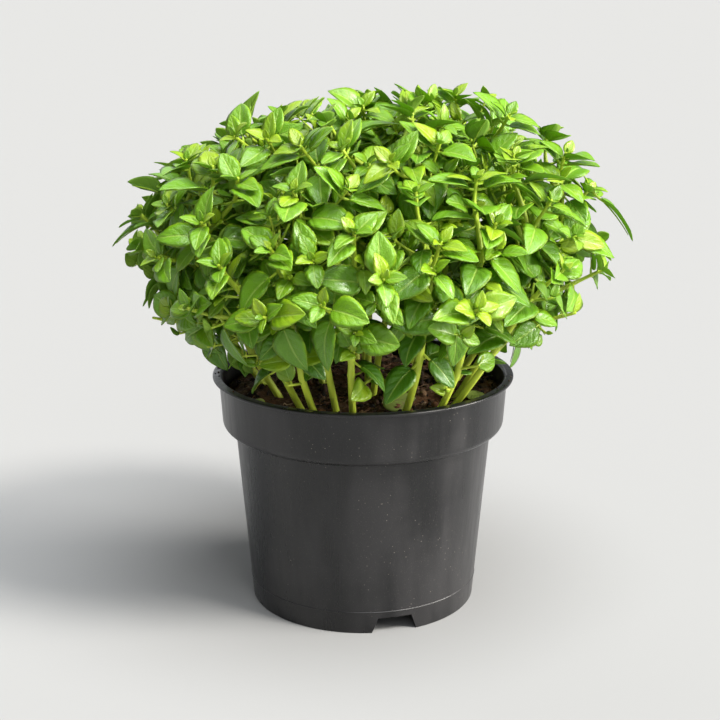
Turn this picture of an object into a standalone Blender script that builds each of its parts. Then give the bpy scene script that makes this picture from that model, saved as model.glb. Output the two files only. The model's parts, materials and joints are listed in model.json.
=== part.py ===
"""Potted basil: a bushy, fine-leaved basil growing in a round plastic nursery pot.

The origin is on the pot's axis at the level it stands on, +Z is up and the front faces -Y.
All sizes are in metres.
"""

from dataclasses import dataclass
from math import acos, atan2, cos, exp, hypot, pi, radians, sin, sqrt, tan
from random import Random

import bmesh
import bpy
from mathutils import Vector
from mathutils.bvhtree import BVHTree

# Pot, driving dimensions
POT_HEIGHT = 0.101
LIP_RADIUS = 0.065
LIP_THICKNESS = 0.0014
COLLAR_TOP_RADIUS = 0.0623
COLLAR_FOOT_RADIUS = 0.0611
COLLAR_FOOT_HEIGHT = 0.081
BODY_TOP_RADIUS = 0.0556
BODY_TOP_HEIGHT = 0.0768
FOOT_RADIUS = 0.0491
WALL = 0.0015
FLOOR_UNDERSIDE = 0.0086
FLOOR_THICKNESS = 0.0016
POT_SEGMENTS = 48

# Drainage: notches through the foot skirt and round holes through the raised floor
NOTCH_COUNT = 3
NOTCH_BEARING = 15.8
NOTCH_FOOT_WIDTH = 0.0195
NOTCH_TOP_WIDTH = 0.0145
NOTCH_HEIGHT = 0.007
DRAIN_COUNT = 3
DRAIN_RADIUS = 0.0045
DRAIN_CIRCLE = 0.030

# Soil
CLEARANCE = 0.0003
SOIL_INSET = 0.0006
SOIL_LEVEL = 0.0935
SOIL_EDGE = 0.0918
SOIL_CROWN = 0.0022
SOIL_LUMP = 0.0011
SOIL_SEGMENTS = 30
SOIL_RINGS = 3

# Stems: where they stand in the soil, and how thick they are
STEM_FOOT = 0.081
STEM_COLLAR = 0.0985
STEM_RADIUS = 0.00175
STEM_TIP_RADIUS = 0.00105
SHOOT_RADIUS = 0.00125
HOLE_GAP = 0.0004
HOLE_EXTRA_DEPTH = 0.001
LEAN_REACH = 0.060

# The feet seen over the front of the rim, as (sideways, in front of the axis)
FRONT_FEET = (
    (-0.0245, 0.0385),
    (-0.0190, 0.0440),
    (-0.0105, 0.0415),
    (-0.0040, 0.0460),
    (0.0165, 0.0430),
    (0.0240, 0.0380),
    (0.0292, 0.0430),
    (0.0360, 0.0345),
)
BACK_FEET = 9
BACK_FEET_RADIUS = 0.0405
BACK_ARC = (62.0, 298.0)
INNER_FEET = 4
INNER_FEET_RADIUS = 0.0195
INNER_FEET_START = 8.0

# Crown: the surface on which the shoots end, as half axes about its centre, with two lobes and
# a shallow dip between them
CROWN_CENTRE = Vector((0.001, 0.0, 0.148))
CROWN_WIDE = 0.100
CROWN_DEEP = 0.094
CROWN_UP = 0.0695
CROWN_DOWN = 0.044
CROWN_LOWEST = -13.0
FRONT_LOWEST = -2.0
FRONT_HALF_ARC = 50.0
LOBES = (
    (Vector((0.43, -0.05, 0.90)).normalized(), 0.08, 0.06),
    (Vector((-0.60, -0.25, 0.76)).normalized(), 0.02, 0.05),
    (Vector((-0.24, -0.08, 0.97)).normalized(), -0.08, 0.03),
    (Vector((0.80, -0.10, 0.58)).normalized(), 0.10, 0.06),
)
BOX_LEFT = -0.1075
BOX_RIGHT = 0.1090
BOX_DEEP = 0.1040
BOX_TOP = 0.2240

# The crown draws in towards the pot: the widest it may be at a lower and an upper height, as
# (height, radius)
SKIRT_LOW = (0.113, 0.072)
SKIRT_HIGH = (0.150, 0.110)

# The shoot tips seen from the front, as (bearing, height angle) in degrees: bearing 0 is the
# front, 90 the right
FRONT_SHOOTS = (
    (-55, 33),
    (-62, 44),
    (-44, 46),
    (-27, 45),
    (-28, 62),
    (-21, 29),
    (-23, 14),
    (-36, 9),
    (-45, 18),
    (-63, 20),
    (-72, 8),
    (-10, 2),
    (-3, 19),
    (-76, 32),
    (-41, 31),
    (-45, -2),
    (35, 65),
    (98, 62),
    (76, 47),
    (92, 36),
    (8, 39),
    (31, 46),
    (35, 32),
    (14, 29),
    (4, 8),
    (18, 16),
    (34, 19),
    (56, 22),
    (84, 20),
    (52, 6),
    (26, 0),
    (60, -6),
    (-10, 45),
)
SHOOTS = 80
SHOOT_TRIALS = 60
SHOOTS_PER_STEM = 6

# How the tubes run: points along a stem and a side shoot, the room kept between stems, and the
# height angle that a stem makes for, which falls the further from the axis it stands
STEM_STEPS = 5
SHOOT_STEPS = 3
TUBE_GAP = 0.0009
TUBE_TRIES = 30
STEM_AIM_TOP = 80.0
STEM_AIM_FALL = 68.0
STEM_AIM_RADIUS = 0.045

# Leaves of one pair down the shoot after another: distance back from the tip, blade length, stalk
# length, rise above the shoot's cross plane in degrees, and how far the blade bends down
LEAF_RANKS = (
    (0.0050, 0.0145, 0.0030, 20.0, 0.14),
    (0.0130, 0.0180, 0.0042, -6.0, 0.22),
)
LEAF_WIDTH = 0.64
LEAF_FOLD = 26.0
LEAF_THICKNESS = 0.0008
LEAF_TRIES = 26
NECK_HALF_WIDTH = 0.00055
NODE_HEIGHT = 0.0012
NODE_CLEAR = 0.0018
NECK_CLEAR = 0.0021
BLADE_STATIONS = ((0.17, 0.74), (0.56, 0.94))
PROXY_MARGIN = 0.00025

SEED = 61


def aim(bearing, height):
    """Unit direction for a bearing and a height angle in degrees."""
    b, h = radians(bearing), radians(height)
    return Vector((sin(b) * cos(h), -cos(b) * cos(h), sin(h)))


def crown_point(direction):
    """Point of the crown's surface in a direction from its centre."""
    half_height = CROWN_UP if direction.z > 0 else CROWN_DOWN
    reach = 1 / sqrt(
        (direction.x / CROWN_WIDE) ** 2 + (direction.y / CROWN_DEEP) ** 2 + (direction.z / half_height) ** 2
    )
    for lobe, gain, spread in LOBES:
        reach *= 1 + gain * exp((direction.dot(lobe) - 1) / spread)
    return CROWN_CENTRE + direction * reach


def shoot_directions(rng):
    """Directions of all shoot tips: those seen from the front, then an even fill of the rest."""
    chosen = [aim(bearing, height) for bearing, height in FRONT_SHOOTS]
    lowest = sin(radians(CROWN_LOWEST))
    while len(chosen) < SHOOTS:
        best, best_gap = None, -1.0
        for _ in range(SHOOT_TRIALS):
            z = rng.uniform(lowest, 1.0)
            b = rng.uniform(-pi, pi)
            flat = sqrt(1 - z * z)
            if abs(b) < radians(FRONT_HALF_ARC) and z < sin(radians(FRONT_LOWEST)):
                continue
            trial = Vector((sin(b) * flat, -cos(b) * flat, z))
            point = crown_point(trial)
            gap = min((point - crown_point(other)).length for other in chosen)
            if gap > best_gap:
                best, best_gap = trial, gap
        chosen.append(best)
    return chosen


def stem_feet(rng):
    """Where each stem stands in the soil, as (x, y)."""
    feet = [(x, -front) for x, front in FRONT_FEET]
    first, last = BACK_ARC
    for k in range(BACK_FEET):
        bearing = radians(first + (last - first) * k / (BACK_FEET - 1) + rng.uniform(-5, 5))
        radius = BACK_FEET_RADIUS + rng.uniform(-0.004, 0.004)
        feet.append((sin(bearing) * radius, -cos(bearing) * radius))
    for k in range(INNER_FEET):
        bearing = radians(INNER_FEET_START + 360 * k / INNER_FEET + rng.uniform(-14, 14))
        radius = INNER_FEET_RADIUS + rng.uniform(-0.003, 0.003)
        feet.append((sin(bearing) * radius, -cos(bearing) * radius))
    feet.append((0.002, 0.003))
    return feet


@dataclass
class Tube:
    """A stem or a side shoot: the points along it, its radius at each, and the way its first side faces."""

    stem: int
    points: list
    radii: list
    facing: Vector

    def place(self, back):
        """Point, direction and radius at a distance back from the tip."""
        points, radii = self.points, self.radii
        for k in range(len(points) - 1, 0, -1):
            step = points[k] - points[k - 1]
            if back <= step.length or k == 1:
                share = min(1.0, back / step.length)
                radius = radii[k] + (radii[k - 1] - radii[k]) * share
                return points[k] - step * share, step.normalized(), radius
            back -= step.length

    def sides(self, axis):
        """The two directions across the tube that its first and second side face."""
        first = (self.facing - axis * self.facing.dot(axis)).normalized()
        return first, axis.cross(first)

    def bends(self):
        """Distances back from the tip of the points along the tube."""
        backs = [0.0]
        for a, b in zip(reversed(self.points[:-1]), reversed(self.points[1:])):
            backs.append(backs[-1] + (b - a).length)
        return backs

    def length(self):
        return self.bends()[-1]


@dataclass
class Leaf:
    """A leaf: where it grows from, its direction and upper side, and its sizes."""

    tube: int
    back: float
    quarter: int
    root: Vector
    along: Vector
    up: Vector
    neck: float
    length: float
    width: float
    fold: float
    curl: float
    rank: int


def bezier(a, b, c, d, t):
    s = 1 - t
    return a * s ** 3 + b * (3 * s * s * t) + c * (3 * s * t * t) + d * t ** 3


def growth(direction):
    """Direction in which a shoot's tip grows: outwards, and turned up towards the light."""
    return (direction * 0.70 + Vector((0, 0, 0.48))).normalized()


def samples(points, radii, step=0.002):
    """Points close together along a tube, each with its radius."""
    out = []
    for (a, ra), (b, rb) in zip(zip(points, radii), zip(points[1:], radii[1:])):
        count = max(1, int((b - a).length / step))
        for k in range(count + 1):
            t = k / count
            out.append((a.lerp(b, t), ra + (rb - ra) * t))
    return out


def tube_is_clear(stem, trial, placed):
    for other_stem, others in placed:
        if other_stem == stem:
            continue
        for p, pr in trial:
            for q, qr in others:
                reach = pr + qr + TUBE_GAP
                if (p - q).length_squared < reach * reach:
                    return False
    return True


def jitter(rng, size):
    return Vector((rng.uniform(-size, size), rng.uniform(-size, size), rng.uniform(-size, size)))


def stem_curve(foot, tip, tip_direction, rng, loose):
    """Points from the foot in the soil, straight through the soil's surface, then curved to the tip."""
    lean = Vector((foot[0] / LEAN_REACH, foot[1] / LEAN_REACH, 1.0))
    base = Vector((foot[0], foot[1], SOIL_LEVEL)) + lean * (STEM_FOOT - SOIL_LEVEL)
    collar = Vector((foot[0], foot[1], SOIL_LEVEL)) + lean * (STEM_COLLAR - SOIL_LEVEL)
    span = (tip - collar).length
    first = collar + lean.normalized() * span * 0.38 + jitter(rng, loose)
    second = tip - tip_direction * span * 0.32 + jitter(rng, loose)
    curve = [bezier(collar, first, second, tip, k / STEM_STEPS) for k in range(STEM_STEPS + 1)]
    return [base] + curve


def shoot_start(main, tip):
    """Place on the stem where a side shoot for this tip leaves at an easy angle."""
    best, best_cost = None, 1e9
    total = main.length()
    for k in range(3, 14):
        back = total * k / 20
        point, tangent, _ = main.place(back)
        if point.z < STEM_COLLAR + 0.012:
            continue
        way = tip - point
        turn = acos(max(-1.0, min(1.0, way.normalized().dot(tangent))))
        cost = way.length + 0.030 * max(0.0, turn - radians(48))
        if cost < best_cost:
            best, best_cost = (point, tangent), cost
    return best


def facing_of(points, rng):
    """A direction across the tube's tip, turned at random round it."""
    axis = (points[-1] - points[-2]).normalized()
    first = axis.orthogonal().normalized()
    turn = rng.uniform(-pi, pi)
    return first * cos(turn) + axis.cross(first) * sin(turn)


def grow_tubes(rng):
    """All stems and side shoots, clear of the tubes of other stems."""
    directions = shoot_directions(rng)
    feet = stem_feet(rng)
    aims = []
    for x, y in feet:
        radius = hypot(x, y)
        bearing = atan2(x, -y) * 180 / pi
        aims.append(aim(bearing, STEM_AIM_TOP - STEM_AIM_FALL * min(1.0, radius / STEM_AIM_RADIUS)))
    pairs = sorted(
        (1 - direction.dot(target), tip, stem)
        for tip, direction in enumerate(directions)
        for stem, target in enumerate(aims)
    )
    owner, held = {}, {stem: [] for stem in range(len(feet))}
    for _, tip, stem in pairs:
        if tip not in owner and len(held[stem]) < SHOOTS_PER_STEM:
            owner[tip] = stem
            held[stem].append(tip)
    tubes, placed = [], []
    for stem, tips in held.items():
        if not tips:
            continue
        lead = tips[0]
        for attempt in range(TUBE_TRIES):
            loose = 0.0006 * attempt
            direction = directions[lead]
            tip = crown_point(direction) + jitter(rng, loose * 0.4)
            points = stem_curve(feet[stem], tip, growth(direction), rng, loose)
            steps = len(points) - 1
            radii = [STEM_RADIUS + (STEM_TIP_RADIUS - STEM_RADIUS) * (k / steps) ** 1.5 for k in range(steps + 1)]
            trial = samples(points, radii)
            if tube_is_clear(stem, trial, placed):
                tubes.append(Tube(stem, points, radii, facing_of(points, rng)))
                placed.append((stem, trial))
                break
        else:
            raise RuntimeError(f"no clear way for stem {stem}")
    mains = list(tubes)
    for main in mains:
        for tip_index in held[main.stem][1:]:
            direction = directions[tip_index]
            for attempt in range(TUBE_TRIES):
                loose = 0.0005 * attempt
                tip = crown_point(direction) + jitter(rng, loose * 0.5)
                start, tangent = shoot_start(main, tip + jitter(rng, loose))
                span = (tip - start).length
                out = ((tip - start).normalized() + tangent * 0.5).normalized()
                first = start + out * span * 0.33 + jitter(rng, loose)
                second = tip - growth(direction) * span * 0.34 + jitter(rng, loose)
                points = [bezier(start, first, second, tip, k / SHOOT_STEPS) for k in range(SHOOT_STEPS + 1)]
                radii = [
                    SHOOT_RADIUS + (STEM_TIP_RADIUS - SHOOT_RADIUS) * k / SHOOT_STEPS
                    for k in range(SHOOT_STEPS + 1)
                ]
                trial = samples(points, radii)
                if tube_is_clear(main.stem, trial, placed):
                    tubes.append(Tube(main.stem, points, radii, facing_of(points, rng)))
                    placed.append((main.stem, trial))
                    break
            else:
                print("dropped shoot", main.stem, tip_index)
    return tubes


def blade_points(leaf, grow=0.0, start=0.0):
    """Upper-side points of a blade: the outline round from the neck's left, then the midrib."""
    side = leaf.up.cross(leaf.along)

    def at(distance, half_width, raised):
        share = max(0.0, (distance - leaf.neck) / leaf.length)
        sink = leaf.curl * leaf.length * share * share
        return (
            leaf.root
            + leaf.along * distance
            + side * half_width
            + leaf.up * (abs(half_width) * raised - sink)
        )

    slope = tan(radians(leaf.fold))
    half = leaf.width / 2
    neck_half = NECK_HALF_WIDTH + grow
    (s1, w1), (s2, w2) = BLADE_STATIONS
    d1 = leaf.neck + leaf.length * s1
    d2 = leaf.neck + leaf.length * s2
    tip = leaf.neck + leaf.length + grow
    outline = [
        at(start, neck_half, 0.0),
        at(start, -neck_half, 0.0),
        at(d1, -half * w1 - grow, slope),
        at(d2, -half * w2 - grow, slope),
        at(tip, 0.0, 0.0),
        at(d2, half * w2 + grow, slope),
        at(d1, half * w1 + grow, slope),
    ]
    return outline + [at(d1, 0.0, 0.0), at(d2, 0.0, 0.0)]


BLADE_FACES = (
    (0, 7, 1),
    (1, 7, 2),
    (0, 6, 7),
    (2, 7, 8),
    (2, 8, 3),
    (6, 5, 8),
    (6, 8, 7),
    (3, 8, 4),
    (5, 4, 8),
)
BLADE_RIM = 7


def blade_mesh(leaf, grow=0.0, start=0.0):
    """Closed thin solid of a blade: the same triangles above and below, joined round the rim."""
    top = blade_points(leaf, grow, start)
    half_thickness = leaf.up * (LEAF_THICKNESS / 2 + grow)
    count = len(top)
    points = [p + half_thickness for p in top] + [p - half_thickness for p in top]
    faces = [tuple(reversed(face)) for face in BLADE_FACES]
    faces += [tuple(k + count for k in face) for face in BLADE_FACES]
    for k in range(BLADE_RIM):
        n = (k + 1) % BLADE_RIM
        faces.append((k, n + count, n))
        faces.append((k, k + count, n + count))
    return points, faces


def tube_mesh(points, radii, sides, grow=0.0, twist=0.0):
    """Closed tube round a run of points, with a flat cap at each end."""
    rings = []
    reference = None
    for k, point in enumerate(points):
        ahead = points[min(k + 1, len(points) - 1)] - points[max(k - 1, 0)]
        ahead.normalize()
        if reference is None:
            reference = ahead.orthogonal()
        across = (reference - ahead * reference.dot(ahead)).normalized()
        reference = across
        other = ahead.cross(across)
        ring = []
        for j in range(sides):
            angle = 2 * pi * j / sides + twist
            ring.append(point + (across * cos(angle) + other * sin(angle)) * (radii[k] + grow))
        rings.append(ring)
    flat = [p for ring in rings for p in ring]
    faces = []
    for k in range(len(rings) - 1):
        for j in range(sides):
            n = (j + 1) % sides
            a, b = k * sides + j, k * sides + n
            faces.append((a, b, b + sides))
            faces.append((a, b + sides, a + sides))
    last = (len(rings) - 1) * sides
    for j in range(1, sides - 1):
        faces.append((0, j + 1, j))
        faces.append((last, last + j, last + j + 1))
    return flat, faces


def leafy_shoot_mesh(tube, leaves):
    """A four-sided tube with each of its blades drawn out of one side, as one closed solid."""
    nodes = sorted({leaf.back for leaf in leaves})
    backs = [back for back in tube.bends()[1:] if all(abs(back - node) > NODE_CLEAR for node in nodes)]
    backs += [node + half for node in nodes for half in (-NODE_HEIGHT / 2, NODE_HEIGHT / 2)]
    backs.sort(reverse=True)
    points, faces = [], []
    for back in backs:
        centre, axis, radius = tube.place(back)
        first, second = tube.sides(axis)
        for corner in range(4):
            angle = pi / 4 + corner * pi / 2
            points.append(centre + (first * cos(angle) + second * sin(angle)) * radius)
    bare = {(node - NODE_HEIGHT / 2): node for node in nodes}
    grown = {(leaf.back, leaf.quarter): leaf for leaf in leaves}
    for k in range(1, len(backs)):
        node = bare.get(backs[k])
        for quarter in range(4):
            right, left = (quarter + 3) % 4, quarter
            a, b = 4 * (k - 1) + right, 4 * (k - 1) + left
            leaf = grown.get((node, quarter))
            if leaf is None:
                faces += [(a, b, b + 4), (a, b + 4, a + 4)]
                continue
            top_points = blade_points(leaf)[2:]
            half_thickness = leaf.up * (LEAF_THICKNESS / 2)
            top = [b + 4, a + 4] + [len(points) + j for j in range(len(top_points))]
            points += [p + half_thickness for p in top_points]
            under = [b, a] + [len(points) + j for j in range(len(top_points))]
            points += [p - half_thickness for p in top_points]
            for x, y, z in BLADE_FACES:
                faces += [(top[z], top[y], top[x]), (under[x], under[y], under[z])]
            for j in range(1, BLADE_RIM):
                n = (j + 1) % BLADE_RIM
                faces += [(top[j], under[n], top[n]), (top[j], under[j], under[n])]
    faces += [(0, 2, 1), (0, 3, 2)]
    last = 4 * (len(backs) - 1)
    points.append(tube.place(0.0)[0])
    for corner in range(4):
        faces.append((last + corner, last + (corner + 1) % 4, len(points) - 1))
    return points, faces


class Proxy:
    """Slightly swollen copy of a solid, to keep its neighbours clear of it."""

    def __init__(self, owner, points, faces):
        self.owner = owner
        self.tree = BVHTree.FromPolygons(points, faces)
        self.centre = sum(points, Vector()) / len(points)
        self.reach = max((p - self.centre).length for p in points)

    def meets(self, other):
        near = self.reach + other.reach
        if (self.centre - other.centre).length_squared > near * near:
            return False
        return bool(self.tree.overlap(other.tree))


def leaf_at(tube_index, tube, back, quarter, length, neck, rise, curl, rank, rng, loose):
    """A leaf that grows from a tube, turned towards the light."""
    root, axis, _ = tube.place(back)
    first, second = tube.sides(axis)
    rise_angle = radians(rise + rng.uniform(-8, 8) * (1 + loose))
    turn = quarter * pi / 2 + radians(rng.uniform(-9, 9) * (1 + 2.2 * loose))
    along = (first * cos(turn) + second * sin(turn)) * cos(rise_angle) + axis * sin(rise_angle)
    outward = (root - CROWN_CENTRE).normalized()
    light = axis * 0.85 + outward * 0.3 + Vector((0, 0, 0.4)) + jitter(rng, 0.22 + 0.25 * loose)
    up = light - along * light.dot(along)
    up.normalize()
    size = rng.uniform(0.86, 1.14)
    blade = length * size
    return Leaf(
        tube=tube_index,
        back=back,
        quarter=quarter,
        root=root,
        along=along,
        up=up,
        neck=neck * rng.uniform(0.8, 1.25),
        length=blade,
        width=blade * LEAF_WIDTH * rng.uniform(0.92, 1.1),
        fold=LEAF_FOLD + rng.uniform(-9, 7),
        curl=curl + rng.uniform(-0.06, 0.10),
        rank=rank,
    )


def skirt_radius(z):
    """The widest that the crown may be at a height."""
    share = (z - SKIRT_LOW[0]) / (SKIRT_HIGH[0] - SKIRT_LOW[0])
    if share > 1:
        return 1.0
    return SKIRT_LOW[1] + (SKIRT_HIGH[1] - SKIRT_LOW[1]) * max(0.0, share)


def inside_box(points):
    return all(
        BOX_LEFT < p.x < BOX_RIGHT
        and abs(p.y) < BOX_DEEP
        and POT_HEIGHT + 0.002 < p.z < BOX_TOP
        and hypot(p.x, p.y) < skirt_radius(p.z)
        for p in points
    )


def leaf_is_clear(leaf, proxies):
    points, faces = blade_mesh(leaf, PROXY_MARGIN, NECK_CLEAR)
    if not inside_box(points):
        return None
    trial = Proxy(None, points, faces)
    for proxy in proxies:
        if proxy.owner == leaf.tube:
            continue
        if trial.meets(proxy):
            return None
    return trial


def grow_leaves(tubes, ranks, proxies, rng):
    """Leaf pairs down each shoot, each pair crossing the one above it, none through a neighbour."""
    leaves = []
    for rank, (back, length, neck, rise, curl) in enumerate(ranks):
        for index, tube in enumerate(tubes):
            gap = back * rng.uniform(0.85, 1.15)
            if gap > tube.length() * 0.8:
                continue
            for quarter in (rank % 2, rank % 2 + 2):
                for attempt in range(LEAF_TRIES):
                    loose = attempt / 10
                    shrink = 1.0 if attempt < 12 else 0.86
                    leaf = leaf_at(
                        index, tube, gap, quarter, length * shrink, neck, rise, curl, rank, rng, loose
                    )
                    trial = leaf_is_clear(leaf, proxies)
                    if trial:
                        leaves.append(leaf)
                        proxies.append(trial)
                        break
    return leaves


def plan_plant():
    """The whole plant: its tubes and its leaves."""
    rng = Random(SEED)
    tubes = grow_tubes(rng)
    proxies = []
    for index, tube in enumerate(tubes):
        points, faces = tube_mesh(tube.points, tube.radii, 6, PROXY_MARGIN)
        proxies.append(Proxy(index, points, faces))
    leaves = grow_leaves(tubes, LEAF_RANKS, proxies, rng)
    return tubes, leaves


def clear_scene():
    for obj in list(bpy.data.objects):
        bpy.data.objects.remove(obj)


def material(name, colour, roughness):
    """Plain Principled material."""
    made = bpy.data.materials.new(name)
    made.use_nodes = True
    shader = made.node_tree.nodes["Principled BSDF"]
    shader.inputs["Base Color"].default_value = (*colour, 1.0)
    shader.inputs["Roughness"].default_value = roughness
    shader.inputs["Metallic"].default_value = 0.0
    return made


def mesh_object(name, points, faces, made=None, collection=None):
    mesh = bpy.data.meshes.new(name)
    mesh.from_pydata(points, [], faces)
    mesh.validate()
    obj = bpy.data.objects.new(name, mesh)
    if made:
        mesh.materials.append(made)
    (collection or bpy.context.scene.collection).objects.link(obj)
    return obj


def turned_solid(name, profile, segments, made=None, collection=None, height=None):
    """Solid of revolution: the profile runs from the axis at the bottom, outside up, to the axis."""
    points, faces = [], []
    rings = []
    for radius, z in profile:
        if radius == 0:
            rings.append([len(points)])
            points.append(Vector((0, 0, z)))
            continue
        ring = []
        for k in range(segments):
            angle = 2 * pi * k / segments
            x, y = radius * cos(angle), radius * sin(angle)
            ring.append(len(points))
            points.append(Vector((x, y, z + (height(x, y) if height else 0.0))))
        rings.append(ring)
    for lower, upper in zip(rings, rings[1:]):
        for k in range(segments):
            n = (k + 1) % segments
            if len(lower) == 1:
                faces.append((lower[0], upper[n], upper[k]))
            elif len(upper) == 1:
                faces.append((lower[k], lower[n], upper[0]))
            else:
                faces.append((lower[k], lower[n], upper[n], upper[k]))
    return mesh_object(name, points, faces, made, collection)


def boolean(obj, operation, cutters):
    """Apply one Boolean of a collection of objects, then remove them."""
    modifier = obj.modifiers.new("join", "BOOLEAN")
    modifier.operation = operation
    modifier.operand_type = "COLLECTION"
    modifier.collection = cutters
    modifier.solver = "EXACT"
    graph = bpy.context.evaluated_depsgraph_get()
    result = bpy.data.meshes.new_from_object(obj.evaluated_get(graph))
    obj.modifiers.remove(modifier)
    old = obj.data
    obj.data = result
    bpy.data.meshes.remove(old)
    for cutter in list(cutters.objects):
        bpy.data.objects.remove(cutter)
    bpy.data.collections.remove(cutters)
    return obj


def new_collection(name):
    made = bpy.data.collections.new(name)
    bpy.context.scene.collection.children.link(made)
    return made


def keep_largest_shell(obj):
    """Drop loose scraps and the walls of sealed hollows, then split every face in triangles."""
    mesh = bmesh.new()
    mesh.from_mesh(obj.data)
    seen, shells = set(), []
    for start in mesh.faces:
        if start in seen:
            continue
        seen.add(start)
        shell, edge_of = [start], [start]
        while edge_of:
            face = edge_of.pop()
            for edge in face.edges:
                for near in edge.link_faces:
                    if near not in seen:
                        seen.add(near)
                        shell.append(near)
                        edge_of.append(near)
        shells.append(shell)
    shells.sort(key=len)
    scraps = [face for shell in shells[:-1] for face in shell]
    bmesh.ops.delete(mesh, geom=scraps, context="FACES")
    bmesh.ops.triangulate(mesh, faces=mesh.faces)
    mesh.to_mesh(obj.data)
    mesh.free()


def shade(obj, angle=35.0):
    obj.data.shade_smooth()
    obj.data.set_sharp_from_angle(angle=radians(angle))


def wall_radius(z):
    """Outer radius of the pot's body at a height."""
    return FOOT_RADIUS + (BODY_TOP_RADIUS - FOOT_RADIUS) * z / BODY_TOP_HEIGHT


def pot_outside():
    """The pot's outer profile from the foot to the top of the lip, as (radius, height)."""
    lip_under = POT_HEIGHT - LIP_THICKNESS
    rise = COLLAR_FOOT_HEIGHT - BODY_TOP_HEIGHT
    run = COLLAR_FOOT_RADIUS - BODY_TOP_RADIUS
    shoulder = [
        (BODY_TOP_RADIUS + run * sin(radians(a)), COLLAR_FOOT_HEIGHT - rise * cos(radians(a))) for a in (0, 45, 90)
    ]
    return (
        [(FOOT_RADIUS, 0.0)]
        + shoulder
        + [
            (COLLAR_TOP_RADIUS, lip_under - 0.0004),
            (LIP_RADIUS - 0.0005, lip_under),
            (LIP_RADIUS, lip_under + 0.0005),
            (LIP_RADIUS - 0.0002, POT_HEIGHT - 0.0002),
            (LIP_RADIUS - 0.0008, POT_HEIGHT),
            (COLLAR_TOP_RADIUS - 0.0006, POT_HEIGHT),
        ]
    )


def pot_inside():
    """The pot's inner profile from under the lip down to the floor, as (radius, height)."""
    floor = FLOOR_UNDERSIDE + FLOOR_THICKNESS
    return [
        (COLLAR_TOP_RADIUS - WALL, POT_HEIGHT - 0.0012),
        (COLLAR_FOOT_RADIUS - WALL, COLLAR_FOOT_HEIGHT + 0.0012),
        (BODY_TOP_RADIUS - WALL, BODY_TOP_HEIGHT + 0.0010),
        (wall_radius(floor) - WALL, floor),
    ]


def make_pot(made):
    foot_inner = FOOT_RADIUS - WALL * 1.3
    profile = (
        [(0.0, FLOOR_UNDERSIDE), (wall_radius(FLOOR_UNDERSIDE) - WALL * 1.3, FLOOR_UNDERSIDE), (foot_inner, 0.0)]
        + pot_outside()
        + pot_inside()
        + [(0.0, FLOOR_UNDERSIDE + FLOOR_THICKNESS)]
    )
    pot = turned_solid("pot", profile, POT_SEGMENTS, made)
    cutters = new_collection("pot_holes")
    for k in range(NOTCH_COUNT):
        bearing = NOTCH_BEARING + 360 * k / NOTCH_COUNT
        out = aim(bearing, 0)
        side = Vector((-out.y, out.x, 0))
        points = []
        for reach in (FOOT_RADIUS - 0.006, FOOT_RADIUS + 0.006):
            for half, z in (
                (-NOTCH_FOOT_WIDTH / 2 - 0.0004, -0.001),
                (NOTCH_FOOT_WIDTH / 2 + 0.0004, -0.001),
                (NOTCH_TOP_WIDTH / 2, NOTCH_HEIGHT),
                (-NOTCH_TOP_WIDTH / 2, NOTCH_HEIGHT),
            ):
                points.append(out * reach + side * half + Vector((0, 0, z)))
        faces = [(3, 2, 1, 0), (4, 5, 6, 7), (0, 1, 5, 4), (1, 2, 6, 5), (2, 3, 7, 6), (3, 0, 4, 7)]
        mesh_object(f"notch_{k}", points, faces, None, cutters)
    for k in range(DRAIN_COUNT):
        centre = aim(NOTCH_BEARING + 360 * k / DRAIN_COUNT, 0) * DRAIN_CIRCLE
        ends = [centre + Vector((0, 0, FLOOR_UNDERSIDE - 0.002)), centre + Vector((0, 0, FLOOR_UNDERSIDE + 0.004))]
        points, faces = tube_mesh(ends, [DRAIN_RADIUS] * 2, 8)
        mesh_object(f"drain_{k}", points, faces, None, cutters)
    boolean(pot, "DIFFERENCE", cutters)
    keep_largest_shell(pot)
    shade(pot)
    return pot


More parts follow.
